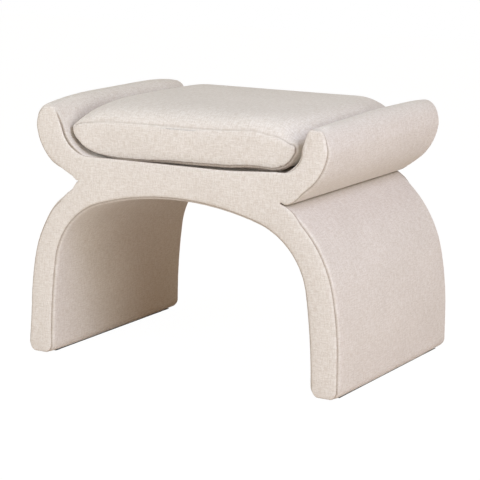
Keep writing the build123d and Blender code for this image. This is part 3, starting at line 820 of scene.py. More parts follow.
# %% Give the wings their slack and their fuller corners
right_wall_slack = 10 * MM
right_square = 0.8
left_square = 0.7
tip_fade = 14 * MM
outer_corner = (4.5 * MM, radians(42), radians(38))
inner_corner = (4.2 * MM, radians(128), radians(28))


def right_slack(place, y):
    """How far the front of the right wing's inner wall is drawn outwards."""
    on_wall = smoothstep(201 * MM, 242 * MM, place.x) * (place.x < tip.x) * (place.z > deck_level + 2 * MM)
    low = 1 - smoothstep(deck_level + 33 * MM, deck_level + 73 * MM, place.z)
    return right_wall_slack * on_wall * low * smoothstep(0.0, 0.8 * half_depth, -y)


def tip_corners(place, y):
    """How far the two corners of the right wing's tip are filled out at the front."""
    turn = bearing(tip, place)
    filled = 0.0
    for amount, angle, spread in (outer_corner, inner_corner):
        filled += amount * exp(-(((turn - angle) / spread) ** 2))
    return filled * (place.x > 0) * smoothstep(0.3 * half_depth, 0.95 * half_depth, -y)


def squared_edge(place, y):
    """How far the front edge is filled out: on the right wing's top, and up the left inner wall."""
    over = max(0.0, -y - face_half)
    drop = edge_radius - sqrt(edge_radius**2 - over**2)
    if place.x > 0:
        return right_square * drop * wing_share(place)
    on_wall = smoothstep(170 * MM, 215 * MM, -place.x) * (-place.x < tip.x) * (place.z > deck_level - 1 * MM)
    return left_square * drop * on_wall * smoothstep(0, tip_fade, tip.x + place.x)


def seat_crown(place, y):
    """The deck's edges sink under the cushion, the wings have a ridge and their sides a shallow crown."""
    on_wing = wing_share(place)
    outside = smoothstep(half_wing - 60 * MM, half_wing - 10 * MM, abs(place.x))
    sunk = deck_sink * deck_share(place) * smoothstep(half_depth - 62 * MM, half_depth - 38 * MM, abs(y))
    lift = on_wing * wing_ridge(place, y) + (1 - on_wing) * outside * side_crown(place, y)
    return lift + squared_edge(place, y) + tip_corners(place, y) - sunk - right_slack(place, y)


seat_titles = ("tuck_out", "lip", "flare", "side", "tip_rise", "tip", "wall", "bowl", "deck")
seat_half = [outline[title] for title in seat_titles]
seat_moves = seat_half + backwards(seat_half)
seat = padded_strip("seat_panel", *starts["tuck_out"], seat_moves, seat_crown, (True, True),
                    ("seat_cover", "seat_foam"))

# %% [markdown]
# ## Front and rear panels
# The faces are single pieces of padded cloth cut to the outline. They could be cut from a solid with a
# boolean, but a filled outline keeps clean loops along the seam. A point carried round the moves draws
# the outline a little inside the strips, a triangle fill makes the face, and a few insets roll its edge
# over into the seam. A second, smaller outline makes the back, which meets the mitred backs of the
# strips.

# %% Draw an outline and fill it
panel_inset = 5 * MM
panel_back_inset = 11.6 * MM
deck_lap = 1.0 * MM
deck_lap_right = 8 * MM
tip_cover = 7 * MM
left_tip_cover = 3.5 * MM
panel_rim = half_depth - 2.0 * MM
panel_back = frame_half
rim_spacing = 3.5 * MM
edge_rolls = ((0.3, 0.9), (0.55, 0.75), (0.9, 0.6), (1.3, 0.45), (1.8, 0.25))
panel_bulge = 0.9 * MM


def fallen(point, side_sign):
    """How far the strips lie below the outline at the front (-1) or the rear (+1)."""
    end = side_sign * half_depth
    risen = wing_share(point) * wing_ridge(point, end) + tip_corners(point, end)
    return left_thin(point) + right_slack(point, end) - risen


def rim_inset(point, side_sign):
    """How far a panel's rim lies inside the outline: least at the crease, the deck and the front tips."""
    reach = (Vector((abs(point.x), 0, point.z)) - crease).length
    at_crease = 1 - smoothstep(13 * MM, 48 * MM, reach)
    lap = deck_lap + (deck_lap_right - deck_lap) * smoothstep(80 * MM, 240 * MM, point.x)
    rolled_over = 0.0
    if side_sign < 0 and point.x > 0:
        rolled_over = tip_cover * wing_share(point)
    elif side_sign < 0:
        rolled_over = left_tip_cover * wing_share(point) * smoothstep(0, tip_fade, tip.x + point.x)
    return panel_inset * (1 - at_crease) - lap * deck_share(point) - rolled_over + fallen(point, side_sign)


def back_inset(point, side_sign):
    """How far a panel's back lies inside the outline."""
    followed = wing_share(point) * fallen(point, side_sign)
    return panel_back_inset + followed + right_slack(point, side_sign * half_depth)


def drawn_loop(bm, start, normal, moves, inset_of, y, spacing):
    """A closed loop of edges at a depth y: a point carried along moves, drawn in by a varying inset."""
    old_edges = set(bm.edges)
    point = start
    first = vert = bm.verts.new(point - normal * inset_of(point) + Vector((0, y, 0)))
    for move in moves:
        steps = max(3, round(move_length(point, move) / spacing))
        for _ in range(steps):
            point, normal = advanced(point, move, 1 / steps), turned(normal, move, 1 / steps)
            vert = bmesh.ops.extrude_vert_indiv(bm, verts=[vert])["verts"][0]
            vert.co = point - normal * inset_of(point) + Vector((0, y, 0))
    bmesh.ops.remove_doubles(bm, verts=[first, vert], dist=0.5 * MM)
    return [edge for edge in bm.edges if edge not in old_edges]


def outline_loop(bm, inset_at, side_sign, depth):
    """The stool's whole outline, drawn in by an inset except under the feet, where the cloth folds under."""
    half = list(outline.values())
    loop = drawn_loop(bm, *starts["crown"], half + backwards(half), lambda point: inset_at(point, side_sign),
                      side_sign * depth, rim_spacing)
    inset = inset_at(starts["sole"][0], side_sign)
    for vert in {vert for edge in loop for vert in edge.verts}:
        if vert.co.z < toe_level:
            vert.co.z -= inset * (toe_level - vert.co.z) / (toe_radius - inset)
    return loop


def face_panel(name, side_sign, nodes):
    """The front (-1) or rear (+1) face of the stool as one padded panel."""
    bm = bmesh.new()
    seam_and_shade = bm.verts.layers.float.new("seam_and_shade")
    rim = outline_loop(bm, rim_inset, side_sign, panel_rim)
    back = outline_loop(bm, back_inset, side_sign, panel_back)
    rim_verts = {vert for edge in rim for vert in edge.verts}
    rim_places = [vert.co.copy() for vert in rim_verts]
    # The rim takes the dark seam line, partly thread and partly painted shade in the seam; along the deck
    # edge it is painted shade under the cushion.
    for vert in rim_verts:
        vert[seam_and_shade] = seam_show(vert.co)
    facing = Vector((0, side_sign, 0))
    filled = bmesh.ops.triangle_fill(bm, edges=rim, use_beauty=True, normal=facing)["geom"]
    face = [item for item in filled if isinstance(item, bmesh.types.BMFace)]
    bmesh.ops.triangle_fill(bm, edges=back, use_beauty=True, normal=-facing)
    bmesh.ops.bridge_loops(bm, edges=rim + back)
    bmesh.ops.recalc_face_normals(bm, faces=bm.faces[:])
    print(name, "face has", len(face), "triangles, rim", len(rim), "edges, back", len(back), "edges")
    for inward, outward_step in edge_rolls:
        bmesh.ops.inset_region(bm, faces=face, thickness=inward * MM, depth=outward_step * MM,
                               use_boundary=True, use_even_offset=True)
        if inward > edge_rolls[0][0]:
            for vert in {vert for item in face for vert in item.verts}:
                vert[seam_and_shade] = 0.0
    inner = [edge for edge in {edge for item in face for edge in item.edges} if not edge.is_boundary]
    inner = [edge for edge in inner if all(item in set(face) for item in edge.link_faces)]
    bmesh.ops.subdivide_edges(bm, edges=inner, cuts=3, use_grid_fill=True)
    tree = kdtree.KDTree(len(rim_places))
    for index, rim_place in enumerate(rim_places):
        tree.insert(rim_place, index)
    tree.balance()
    for vert in bm.verts:
        if side_sign * vert.co.y < panel_rim + 0.1 * MM:
            continue
        _, _, gap = tree.find(vert.co)
        lift = panel_bulge * (1 - exp(-gap / (14 * MM))) + swell(vert.co) * (1 - exp(-gap / (20 * MM)))
        vert.co.y += side_sign * (lift - puckers(vert.co, gap))
    weave_chart(bm, lambda vert: (vert.co.x, vert.co.z))
    part_lips(bm)
    return finish_piece(name, bm, "stool", linen_finish, nodes)


# %% Cover the front and the rear
front = face_panel("front_panel", -1, ("front_cover", "front_foam"))
rear = face_panel("rear_panel", 1, ("rear_cover", "rear_foam"))

# %% [markdown]
# ## The loose cushion
# The cushion is a foam block wrapped in wadding, in a case with a sewn-in front panel. It could be
# sculpted, but real fullness comes from stuffing that pushes against cloth. So a slightly small form is
# drawn in rings, remeshed into even squares and blown up by the cloth solver. The underside, the rear and
# the front seam are held, as the deck, the zip and the stitches hold them. The same rings at full size
# are the case as it was cut, and the cloth may stand off that case only by its slack and its stretch.

# %% Draw the cushion in rings
cushion_base = deck_level + 0.6 * MM
cushion_half = half_depth - 15 * MM
seam_half_width = 239 * MM
seam_rise = 66 * MM
seam_foot = 3 * MM
crown_rise = 29 * MM
end_swell = 1 * MM
nose_level = 35 * MM
nose_lift = 7 * MM
seam_nose = 16 * MM
nose_growth = 6 * MM
seam_shoulder = 95 * MM
right_shoulder = 44 * MM
rear_shoulder = 80 * MM
left_shoulder = 66 * MM
right_reach = 4 * MM
right_haunch = 58 * MM
start_shrink = 5 * MM
front_dome = 5 * MM
rear_stop = 204.4 * MM
half_steps = (30, 8, 6, 10, 30)
front_rings = ((11 * MM, 1.0), (5 * MM, 0.6))
rings_to_middle = 20
rings_behind = 16


def cushion_moves(fullness, spare=0.0, forward=0.0, rearward=1.0, full_front=0.0):
    """Start, normal and moves round a section with some spare depth. Its right side is fullest in front."""
    width = seam_half_width + end_swell * fullness
    radius = seam_nose + nose_growth * fullness
    base = cushion_base + seam_foot * (1 - fullness) - spare
    halves = []
    right = right_shoulder + (rear_shoulder - right_shoulder) * rearward
    haunch = seam_shoulder + (right_haunch - seam_shoulder) * full_front
    for full_shoulder, reach, foot in ((right, right_reach, haunch), (left_shoulder, 0.0, seam_shoulder)):
        lower_z = base + foot
        nose = Vector((width + reach * forward - radius, 0, cushion_base + nose_level + nose_lift * forward))
        lower = Vector((nose.x - sqrt((foot - radius) ** 2 - (nose.z - lower_z) ** 2), 0, lower_z))
        lower_end = bearing(lower, nose)
        arc = seam_shoulder + (full_shoulder - seam_shoulder) * fullness
        upper_z = cushion_base + seam_rise + crown_rise * fullness - arc
        upper = Vector((nose.x - sqrt((arc - radius) ** 2 - (nose.z - upper_z) ** 2), 0, upper_z))
        upper_end = bearing(upper, nose)
        halves.append([Run(Vector((lower.x, 0, 0))), Bend(lower, lower_end + pi / 2),
                       Bend(nose, upper_end - lower_end), Bend(upper, pi / 2 - upper_end),
                       Run(Vector((-upper.x, 0, 0)))])
    return Vector((0, 0, base)), Vector((0, 0, -1)), halves[0] + backwards(halves[1])


def cushion_ring(bm, fullness, inset, y):
    """One ring of the cushion; every ring has the same number of points."""
    forward = 1 - smoothstep(-0.9 * cushion_half, 0.6 * cushion_half, y)
    rearward = smoothstep(0.3 * cushion_half, 0.9 * cushion_half, y)
    full_front = 1 - smoothstep(-0.9 * cushion_half, -0.3 * cushion_half, y)
    start, normal, moves = cushion_moves(fullness, inset, forward, rearward, full_front)
    old_edges = set(bm.edges)
    vert = first = bm.verts.new(start - normal * inset + Vector((0, y, 0)))
    for move, steps in zip(moves, half_steps + half_steps[::-1]):
        for _ in range(steps):
            vert = bmesh.ops.extrude_vert_indiv(bm, verts=[vert])["verts"][0]
            vert.co = advanced(vert.co, move, 1 / steps)
    bmesh.ops.remove_doubles(bm, verts=[first, vert], dist=0.05 * MM)
    return [edge for edge in bm.edges if edge not in old_edges]


def fullness_at(place):
    """Share of the crown from the front seam (-1) to the rear one (+1): flat, then round at the ends."""
    return (0.96 + 0.04 * (1 - place**2)) * max(0.0, 1 - abs(place) ** 10) ** 0.73


def cushion_form(shrink):
    """The cushion in rings as a closed mesh, drawn in by a shrink everywhere but at the front seam."""
    bm = bmesh.new()
    dome = front_dome - 0.7 * shrink
    rings = [cushion_ring(bm, 0.0, inset, -cushion_half - share * dome) for inset, share in front_rings]
    for step in range(-rings_to_middle, rings_behind + 1):
        place = sin(pi / 2 * step / rings_to_middle)
        inset = shrink * smoothstep(-1.0, -0.93, place)
        rings.append(cushion_ring(bm, fullness_at(place), inset, place * cushion_half))
    rings.append(cushion_ring(bm, 0.1, shrink, rear_stop))
    for near, far in zip(rings, rings[1:]):
        bmesh.ops.bridge_loops(bm, edges=near + far)
    bmesh.ops.triangle_fill(bm, edges=rings[0], use_beauty=True)
    bmesh.ops.triangle_fill(bm, edges=rings[-1], use_beauty=True)
    bmesh.ops.recalc_face_normals(bm, faces=bm.faces[:])
    return bm


# %% Blow the form up with the cloth solver
form_voxel = 6 * MM
stuffing_pressure = 4.0
solver_frames = 20


def small_form():
    """The small form as an object, remeshed into even squares."""
    small_bm = cushion_form(start_shrink)
    small = bpy.data.meshes.new("small_form")
    small_bm.to_mesh(small)
    small_bm.free()
    form = bpy.data.objects.new("small_form", small)
    bpy.context.scene.collection.objects.link(form)
    bpy.context.view_layer.objects.active = form
    remesh = form.modifiers.new("even_squares", "REMESH")
    remesh.mode = "VOXEL"
    remesh.voxel_size = form_voxel
    graph = bpy.context.evaluated_depsgraph_get()
    even = bpy.data.meshes.new_from_object(form.evaluated_get(graph))
    form.modifiers.clear()
    form.data = even
    return form


def hold_form(form):
    """Pin the points that the deck, the zip and the front stitches hold."""
    held = form.vertex_groups.new(name="held")
    for vert in form.data.vertices:
        on_seam = abs(vert.co.y + cushion_half) < 0.6 * form_voxel and abs(vert.normal.y) < 0.8
        on_deck = vert.co.z < cushion_base + 4 * MM and vert.normal.z < -0.8
        if on_seam or on_deck or vert.co.y > rear_stop - 2 * MM:
            held.add([vert.index], 1.0, "REPLACE")


def pushed_points(form):
    """Where the stuffing pushes each point of the form."""
    cloth = form.modifiers.new("stuffing", "CLOTH")
    cloth.settings.quality = 5
    cloth.settings.mass = 0.3
    cloth.settings.tension_stiffness = 12
    cloth.settings.compression_stiffness = 12
    cloth.settings.bending_stiffness = 0.4
    cloth.settings.use_pressure = True
    cloth.settings.uniform_pressure_force = stuffing_pressure
    cloth.settings.vertex_group_mass = "held"
    cloth.settings.effector_weights.gravity = 0
    cloth.point_cache.frame_start = 1
    cloth.point_cache.frame_end = solver_frames
    for step in range(1, solver_frames + 1):
        bpy.context.scene.frame_set(step)
    graph = bpy.context.evaluated_depsgraph_get()
    solved = form.evaluated_get(graph)
    pushed = [vert.co.copy() for vert in solved.data.vertices]
    form.modifiers.clear()
    bpy.context.scene.frame_set(1)
    return pushed


# %% Hold the cushion by its case
case_slack = 1.2 * MM
case_stretch = 1.0 * MM
evening_passes = 14


def evened(mesh, values):
    """One value for each point of a mesh, averaged with its neighbours' again and again."""
    for _ in range(evening_passes):
        sums = list(values)
        counts = [1] * len(values)
        for edge in mesh.edges:
            one, other = edge.vertices
            sums[one] += values[other]
            sums[other] += values[one]
            counts[one] += 1
            counts[other] += 1
        values = [total / count for total, count in zip(sums, counts)]
    return values


def stuffed_mesh():
    """The small form, blown up by its stuffing and held by its case."""
    case_bm = cushion_form(0.0)
    case = BVHTree.FromBMesh(case_bm)
    case_bm.free()
    form = small_form()
    even = form.data
    hold_form(form)
    pushed = pushed_points(form)
    longest = max((after - vert.co).length for after, vert in zip(pushed, even.vertices))
    hits = [case.find_nearest(point)[:2] for point in pushed]
    stands = [(point - near).dot(facing) for point, (near, facing) in zip(pushed, hits)]
    stopped = sum(stand > case_stretch for stand in stands)
    stands = [min(max(stand, -case_slack), case_stretch) for stand in stands]
    for vert, (near, facing), stand in zip(even.vertices, hits, evened(even, stands)):
        vert.co = near + facing * stand
    print("stuffing moved points up to", round(longest / MM, 1), "mm")
    print("the case stopped", stopped, "of", len(pushed), "points")
    bpy.data.objects.remove(form)
    return even


# %% Sew the front seam into the cushion
seam_cuts = (-6, -3, -1.4, -0.5, 0, 0.5, 1.4, 3, 6)
seam_band = 16 * MM
seam_groove = 1.8 * MM
seam_draw = 0.8 * MM
seam_wander = 0.8 * MM


def cushion_seam(place):
    """Depth of the front seam plane at a place, with the slight wander of a hand guided stitch."""
    return -cushion_half + seam_wander * noise.noise(Vector((place.x * 14, 0, place.z * 14)))


def cut_seam(bm):
    """Cut close loops into the cushion on both sides of its front seam."""
    for offset in seam_cuts:
        near = [item for item in bm.faces if abs(item.calc_center_median().y + cushion_half) < seam_band]
        geometry = {item for face in near for item in (*face.verts, *face.edges)} | set(near)
        bmesh.ops.bisect_plane(bm, geom=list(geometry), dist=1e-6, plane_no=(0, 1, 0),
                               plane_co=(0, -cushion_half + offset * MM, 0))
    bm.normal_update()


def draw_seam(bm, seam_and_shade):
    """Draw the cloth in along the front seam and darken the stitch line, as thread and as painted shade in
    the groove.
    """
    inward = {}
    for vert in bm.verts:
        gap = vert.co.y - cushion_seam(vert.co)
        rim = 1 - smoothstep(0.75, 0.97, abs(vert.normal.y))
        drawn = seam_groove * exp(-((gap / (1.1 * MM)) ** 2)) + seam_draw * exp(-abs(gap) / (9 * MM))
        drawn += 2 * puckers(vert.co, abs(gap) + 2 * MM)
        around = Vector((vert.normal.x, 0, vert.normal.z))
        if around.length > 1e-6:
            inward[vert] = around.normalized() * (drawn * rim)
        vert[seam_and_shade] = rim * exp(-((gap / (0.8 * MM)) ** 2))
    for vert, step in inward.items():
        vert.co -= step


# %% Let the front of the cushion settle
top_wander = ((-239, 0), (-228, -3), (-198, -6), (-147, -2), (-80, 0), (65, 1), (146, 5), (192, -1),
              (222, -5), (239, 0))
foot_wander = ((-239, 0), (-228, -4), (-205, -6), (-120, -4), (0, 0), (84, 2), (155, 7), (200, 5),
               (228, 0), (239, 0))
front_roll = 4 * MM
front_hang = 8.4 * MM
cushion_swell = 0.9


def wander_at(table, x):
    """Interpolate a table of (x, rise) in millimetres, smoothly from entry to entry."""
    place = x / MM
    for (near, low), (far, high) in zip(table, table[1:]):
        if near <= place <= far:
            return (low + (high - low) * smoothstep(near, far, place)) * MM
    return 0.0


def settle_front(bm, seam_and_shade):
    """Let the front wander, roll and hang over the edge of the deck, and shade the fold under it."""
    for vert in bm.verts:
        x, z = vert.co.x, vert.co.z
        gap = vert.co.y + cushion_half
        near_front = 1 - smoothstep(-cushion_half, -80 * MM, vert.co.y)
        off_deck = smoothstep(cushion_base, cushion_base + 12 * MM, z)
        high = smoothstep(cushion_base + nose_level - 10 * MM, cushion_base + seam_rise, z)
        rise = high * wander_at(top_wander, x)
        rise += (1 - high) * wander_at(foot_wander, x) * (1 - smoothstep(4 * MM, 14 * MM, gap))
        rolled = smoothstep(-60 * MM, 60 * MM, x) * (1 - smoothstep(5 * MM, 13 * MM, z - cushion_base))
        hung = smoothstep(-195 * MM, -125 * MM, x) * (1 - 0.1 * smoothstep(150 * MM, 210 * MM, x))
        hung *= 1 - smoothstep(cushion_base - 2 * MM, cushion_base + 28 * MM, z)
        hung *= 1 - smoothstep(6 * MM, 18 * MM, gap)
        vert.co.y -= front_roll * rolled * exp(-(((gap - 3.5 * MM) / (3 * MM)) ** 2))
        vert.co.z = max(cushion_base, z + rise * near_front) - front_hang * hung
        # Painted shade: the underside of the hanging front fold takes the dark seam tone, standing for the
        # dark crevice between the cushion and the deck.
        vert[seam_and_shade] = max(vert[seam_and_shade], hung * smoothstep(0.35, 0.8, -vert.normal.z))
        vert.co += vert.normal * (cushion_swell * swell(vert.co * 0.8) * off_deck)


def sewn_cushion():
    """The stuffed form with one subdivision, a drawn-in seam round the front panel and a settled front."""
    bm = bmesh.new()
    bm.from_mesh(stuffed_mesh())
    for _ in range(2):
        bmesh.ops.smooth_vert(bm, verts=bm.verts[:], factor=0.5, use_axis_x=True, use_axis_y=True,
                              use_axis_z=True)
    bmesh.ops.subdivide_edges(bm, edges=bm.edges[:], cuts=1, use_grid_fill=True, smooth=1.0)
    cut_seam(bm)
    seam_and_shade = bm.verts.layers.float.new("seam_and_shade")
    draw_seam(bm, seam_and_shade)
    settle_front(bm, seam_and_shade)
    bmesh.ops.recalc_face_normals(bm, faces=bm.faces[:])
    bm.normal_update()
    return bm


def box_chart(bm):
    """A UV in metres by the way each face looks, for a form that has no outline to unroll."""
    layer = bm.loops.layers.uv.new("weave")
    for face in bm.faces:
        facing = [abs(value) for value in face.normal]
        widest = facing.index(max(facing))
        for loop in face.loops:
            x, y, z = loop.vert.co
            loop[layer].uv = ((y, z), (x, z), (x, y))[widest]


cushion_bm = sewn_cushion()
box_chart(cushion_bm)
cushion = finish_piece("cushion_case", cushion_bm, "cushion", linen_finish,
                       ("cushion_core", "cushion_wadding", "cushion_wrap", "cushion_front_panel"))

# %% [markdown]
# ## The zip at the rear of the cushion
# Behind the cushion the case opens with a zip: two folded panels, each sewn to a woven tape that carries
# a row of teeth. The teeth, stops, slider and pull are CAD pieces with the right shape already. The
# panels could be cut from a sheet with a boolean. Here each is drawn as a closed outline with a notch
# along the zip, filled, rolled at the edge by insets and closed behind. Each tape is a narrow grid given
# its thickness by solidify.

# %% Fold the two rear panels
zip_level = cushion_base - 0.1 * MM + nose_level
slot_half_length = 198 * MM
slot_half_height = 5.5 * MM
panel_parting = 0.15 * MM
rear_inner = 204.8 * MM
rear_edge = 207.6 * MM
rear_rolls = ((0.3, 0.7), (0.6, 0.7), (0.9, 0.6), (1.3, 0.45), (1.8, 0.25))
rear_spacing = 4 * MM


def rear_cushion_panel(name, up, nodes):
    """Half of the cushion's rear panel, above (+1) or below (-1) the zip."""
    moves = cushion_moves(0.0)[2]
    lower_run, lower_bend, nose_bend, upper_bend, upper_run = moves[:5]
    nose = nose_bend.center
    sweep = bearing(upper_bend.center, nose) if up > 0 else bearing(lower_bend.center, nose)
    notch = [
        Run(Vector((slot_half_length, 0, 0))),
        Run(Vector((0, 0, -up * (slot_half_height - panel_parting)))),
        Run(Vector((nose.x + seam_nose - slot_half_length, 0, 0))),
    ]
    rise = [Bend(nose, sweep)]
    if up > 0:
        rise += [upper_bend, upper_run]
    else:
        rise += [Bend(lower_bend.center, -pi / 2 - sweep), Run(Vector((-lower_run.step.x, 0, 0)))]
    half = notch + rise
    bm = bmesh.new()
    bm.verts.layers.float.new("seam_and_shade")
    first = Vector((0, 0, zip_level + up * slot_half_height))
    rim = drawn_loop(bm, first, Vector((0, 0, -up)), half + backwards(half), lambda point: 0.0, rear_edge,
                     rear_spacing)
    filled = bmesh.ops.triangle_fill(bm, edges=rim, use_beauty=True, normal=Vector((0, 1, 0)))["geom"]
    face = [item for item in filled if isinstance(item, bmesh.types.BMFace)]
    grown = bmesh.ops.extrude_edge_only(bm, edges=rim)["geom"]
    fresh = {item for item in grown if isinstance(item, bmesh.types.BMVert)}
    bmesh.ops.translate(bm, verts=list(fresh), vec=(0, rear_inner - rear_edge, 0))
    back = [item for item in grown if isinstance(item, bmesh.types.BMEdge) and set(item.verts) <= fresh]
    bmesh.ops.triangle_fill(bm, edges=back, use_beauty=True, normal=Vector((0, -1, 0)))
    bmesh.ops.recalc_face_normals(bm, faces=bm.faces[:])
    for inward_step, outward_step in rear_rolls:
        bmesh.ops.inset_region(bm, faces=face, thickness=inward_step * MM, depth=outward_step * MM,
                               use_boundary=True, use_even_offset=True)
    weave_chart(bm, lambda vert: (vert.co.x, vert.co.z))
    return finish_piece(name, bm, "cushion", linen_finish, nodes)


rear_upper = rear_cushion_panel("cushion_rear_upper_panel", 1, ("cushion_rear_upper",))
rear_lower = rear_cushion_panel("cushion_rear_lower_panel", -1, ("cushion_rear_lower",))

# %% Weave the zip tapes
rib_pitch = 1.1 * MM
twill_pitch = 0.8 * MM


def zip_tape_finish():
    """Cream twill tape with a ribbed face."""
    finish, nodes, links, tape = start_material("zip_tape_weave")
    flat = weave_uv(nodes)
    split = nodes.new("ShaderNodeSeparateXYZ")
    links.new(flat, split.inputs[0])
    rib = wave_node(nodes, links, split.outputs[1], rib_pitch)
    slant = math_node(nodes, links, "ADD", split.outputs[0], split.outputs[1])
    twill = wave_node(nodes, links, slant, twill_pitch)
    height = math_node(nodes, links, "ADD", rib, twill)
    fibre = noise_node(nodes, links, flat, 900.0, 2.0)
    color = ramp_node(nodes, links, fibre, 0.3, 0.7, (0.55, 0.49, 0.42), (0.70, 0.64, 0.57))
    links.new(color, tape.inputs["Base Color"])
    links.new(bump_node(nodes, links, height, 0.4, 0.2 * MM), tape.inputs["Normal"])
    tape.inputs["Roughness"].default_value = 0.85
    return finish


tape_finish = zip_tape_finish()


def flat_cloth(name, low, high, across, columns, rows, ripple, body, finish, nodes):
    """A thin closed sheet that fills a CAD node's box, thin along one axis, with a slight ripple."""
    bm = bmesh.new()
    bmesh.ops.create_grid(bm, x_segments=columns, y_segments=rows, size=0.5)
    size, middle = high - low, (low + high) / 2
    wide, long = [axis for axis in range(3) if axis != across]
    for vert in bm.verts:
        flat = vert.co.copy()
        spot = Vector((0, 0, 0))
        spot[wide] = middle[wide] + flat.x * size[wide]
        spot[long] = middle[long] + flat.y * size[long]
        spot[across] = middle[across] + ripple * noise.noise(spot * 60)
        vert.co = spot
    bm.verts.layers.float.new("seam_and_shade")
    bmesh.ops.recalc_face_normals(bm, faces=bm.faces[:])
    thickness = size[across] - 2 * ripple
    bmesh.ops.solidify(bm, geom=bm.faces[:], thickness=thickness)
    bm.verts.ensure_lookup_table()
    centre = sum((vert.co[across] for vert in bm.verts), 0.0) / len(bm.verts)
    shift = Vector((0, 0, 0))
    shift[across] = middle[across] - centre
    bmesh.ops.translate(bm, verts=bm.verts[:], vec=shift)
    bmesh.ops.recalc_face_normals(bm, faces=bm.faces[:])
    weave_chart(bm, lambda vert: (vert.co[wide], vert.co[long]))
    return finish_piece(name, bm, body, finish, nodes)


for half_name, panel_piece in (("upper", rear_upper), ("lower", rear_lower)):
    node = f"zip_tape_{half_name}"
    low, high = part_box(node)
    tape = flat_cloth(f"zip_tape_{half_name}_cloth", low, high, 1, 90, 4, 0.05 * MM, "cushion",
                      tape_finish, (node,))

# %% [markdown]
# ## Dust cloths under the feet
# A strip of black spun cloth closes the underside of each foot and hides the cut edges of the covers. It
# could be draped by the cloth solver, but it is stretched and stapled flat, so a grid with a slight
# ripple and a thickness is all it needs. Its finish is a felt of pressed fibres.


# %% Cut and lay the dust cloths
def dust_cloth_finish():
    """Black spun cloth: pressed fibres with tiny bonded dots."""
    finish, nodes, links, felt = start_material("dust_cloth_felt")
    flat = weave_uv(nodes)
    fibre = noise_node(nodes, links, flat, 700.0, 4.0)
    dots = nodes.new("ShaderNodeTexVoronoi")
    dots.inputs["Scale"].default_value = 550
    links.new(flat, dots.inputs["Vector"])
    color = ramp_node(nodes, links, fibre, 0.35, 0.7, (0.012, 0.012, 0.013), (0.045, 0.043, 0.042))
    links.new(color, felt.inputs["Base Color"])
    height = math_node(nodes, links, "ADD", fibre, dots.outputs["Distance"])
    links.new(bump_node(nodes, links, height, 0.5, 0.3 * MM), felt.inputs["Normal"])
    felt.inputs["Roughness"].default_value = 0.95
    return finish


felt_finish = dust_cloth_finish()
for side_name in ("left", "right"):
    node = f"{side_name}_dust_cover"
    low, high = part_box(node)
    cloth = flat_cloth(f"{side_name}_dust_cloth", low, high, 2, 10, 100, 0.1 * MM, "stool",
                       felt_finish, (node,))

# %% [markdown]
# ## Finishes for the CAD pieces
# The frame, the screws, the glides and the zip keep their CAD shapes and get finishes of their own: birch
# plywood with its grain, pine rails, zinc plated steel, grey and ivory plastic and a nickel slider.
# Scanned pictures could be wrapped round them, but noise in object coordinates needs no UV map, and the
# grain has one scale on every piece.


# %% Wood, steel and plastic
def wood_finish(name, pale, dark, grain_axis):
    """Timber with long grain along one axis, fine pores and a little gloss."""
    finish, nodes, links, wood = start_material(name)
    spot = nodes.new("ShaderNodeTexCoord").outputs["Object"]
    long_grain = tuple(6 if axis == grain_axis else 90 for axis in range(3))
    pore_grain = tuple(40 if axis == grain_axis else 900 for axis in range(3))
    figure = noise_node(nodes, links, spot, 1.0, 4.0, long_grain, 0.6)
    pores = noise_node(nodes, links, spot, 1.0, 2.0, pore_grain)
    color = ramp_node(nodes, links, figure, 0.32, 0.68, dark, pale)
    pore_tone = ramp_node(nodes, links, pores, 0.3, 0.6, (0.86, 0.84, 0.82), (1.0, 1.0, 1.0))
    links.new(mix_color(nodes, links, 1.0, color, pore_tone, "MULTIPLY"), wood.inputs["Base Color"])
    links.new(bump_node(nodes, links, pores, 0.15, 0.2 * MM), wood.inputs["Normal"])
    links.new(scaled_node(nodes, links, figure, 0.2, 0.5), wood.inputs["Roughness"])
    return finish


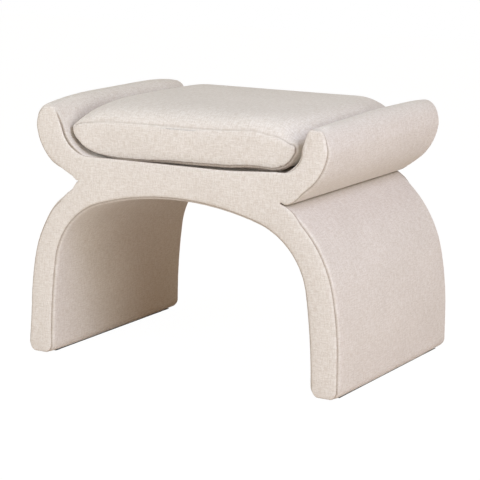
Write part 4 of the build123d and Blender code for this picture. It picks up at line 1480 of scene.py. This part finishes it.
def metal_finish(name, tone, roughness):
    """Plated metal with fine scratches and dull patches."""
    finish, nodes, links, metal = start_material(name)
    spot = nodes.new("ShaderNodeTexCoord").outputs["Object"]
    scratch = noise_node(nodes, links, spot, 1.0, 3.0, (300, 2200, 2200))
    patch = noise_node(nodes, links, spot, 120.0, 2.0)
    darker = tuple(0.8 * value for value in tone)
    links.new(ramp_node(nodes, links, patch, 0.3, 0.7, darker, tone), metal.inputs["Base Color"])
    links.new(scaled_node(nodes, links, scratch, 0.25, roughness), metal.inputs["Roughness"])
    links.new(bump_node(nodes, links, scratch, 0.1, 0.05 * MM), metal.inputs["Normal"])
    metal.inputs["Metallic"].default_value = 1.0
    return finish


def plastic_finish(name, tone, roughness):
    """Moulded plastic with a spark-eroded texture."""
    finish, nodes, links, plastic = start_material(name)
    spot = nodes.new("ShaderNodeTexCoord").outputs["Object"]
    grain = noise_node(nodes, links, spot, 2500.0, 2.0)
    patch = noise_node(nodes, links, spot, 90.0, 2.0)
    paler = tuple(min(1.0, 1.15 * value) for value in tone)
    links.new(ramp_node(nodes, links, patch, 0.3, 0.7, tone, paler), plastic.inputs["Base Color"])
    links.new(scaled_node(nodes, links, grain, 0.2, roughness), plastic.inputs["Roughness"])
    links.new(bump_node(nodes, links, grain, 0.25, 0.05 * MM), plastic.inputs["Normal"])
    return finish


# %% Dress the CAD pieces by their slot
slot_finishes = {
    "plywood": wood_finish("birch_plywood", (0.68, 0.49, 0.30), (0.52, 0.35, 0.19), 0),
    "timber": wood_finish("pine_timber", (0.66, 0.46, 0.25), (0.47, 0.29, 0.13), 1),
    "screw_steel": metal_finish("zinc_steel", (0.62, 0.62, 0.60), 0.3),
    "glide_plastic": plastic_finish("grey_nylon", (0.16, 0.155, 0.15), 0.4),
    "zip_plastic": plastic_finish("ivory_moulding", (0.66, 0.60, 0.52), 0.35),
    "zip_metal": metal_finish("nickel", (0.66, 0.63, 0.58), 0.22),
}
shown = [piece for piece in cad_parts.values() if not piece.hide_render]
for piece in shown:
    piece.material_slots[0].material = slot_finishes[piece.material_slots[0].material.name]
print("dressed", len(shown), "CAD pieces")
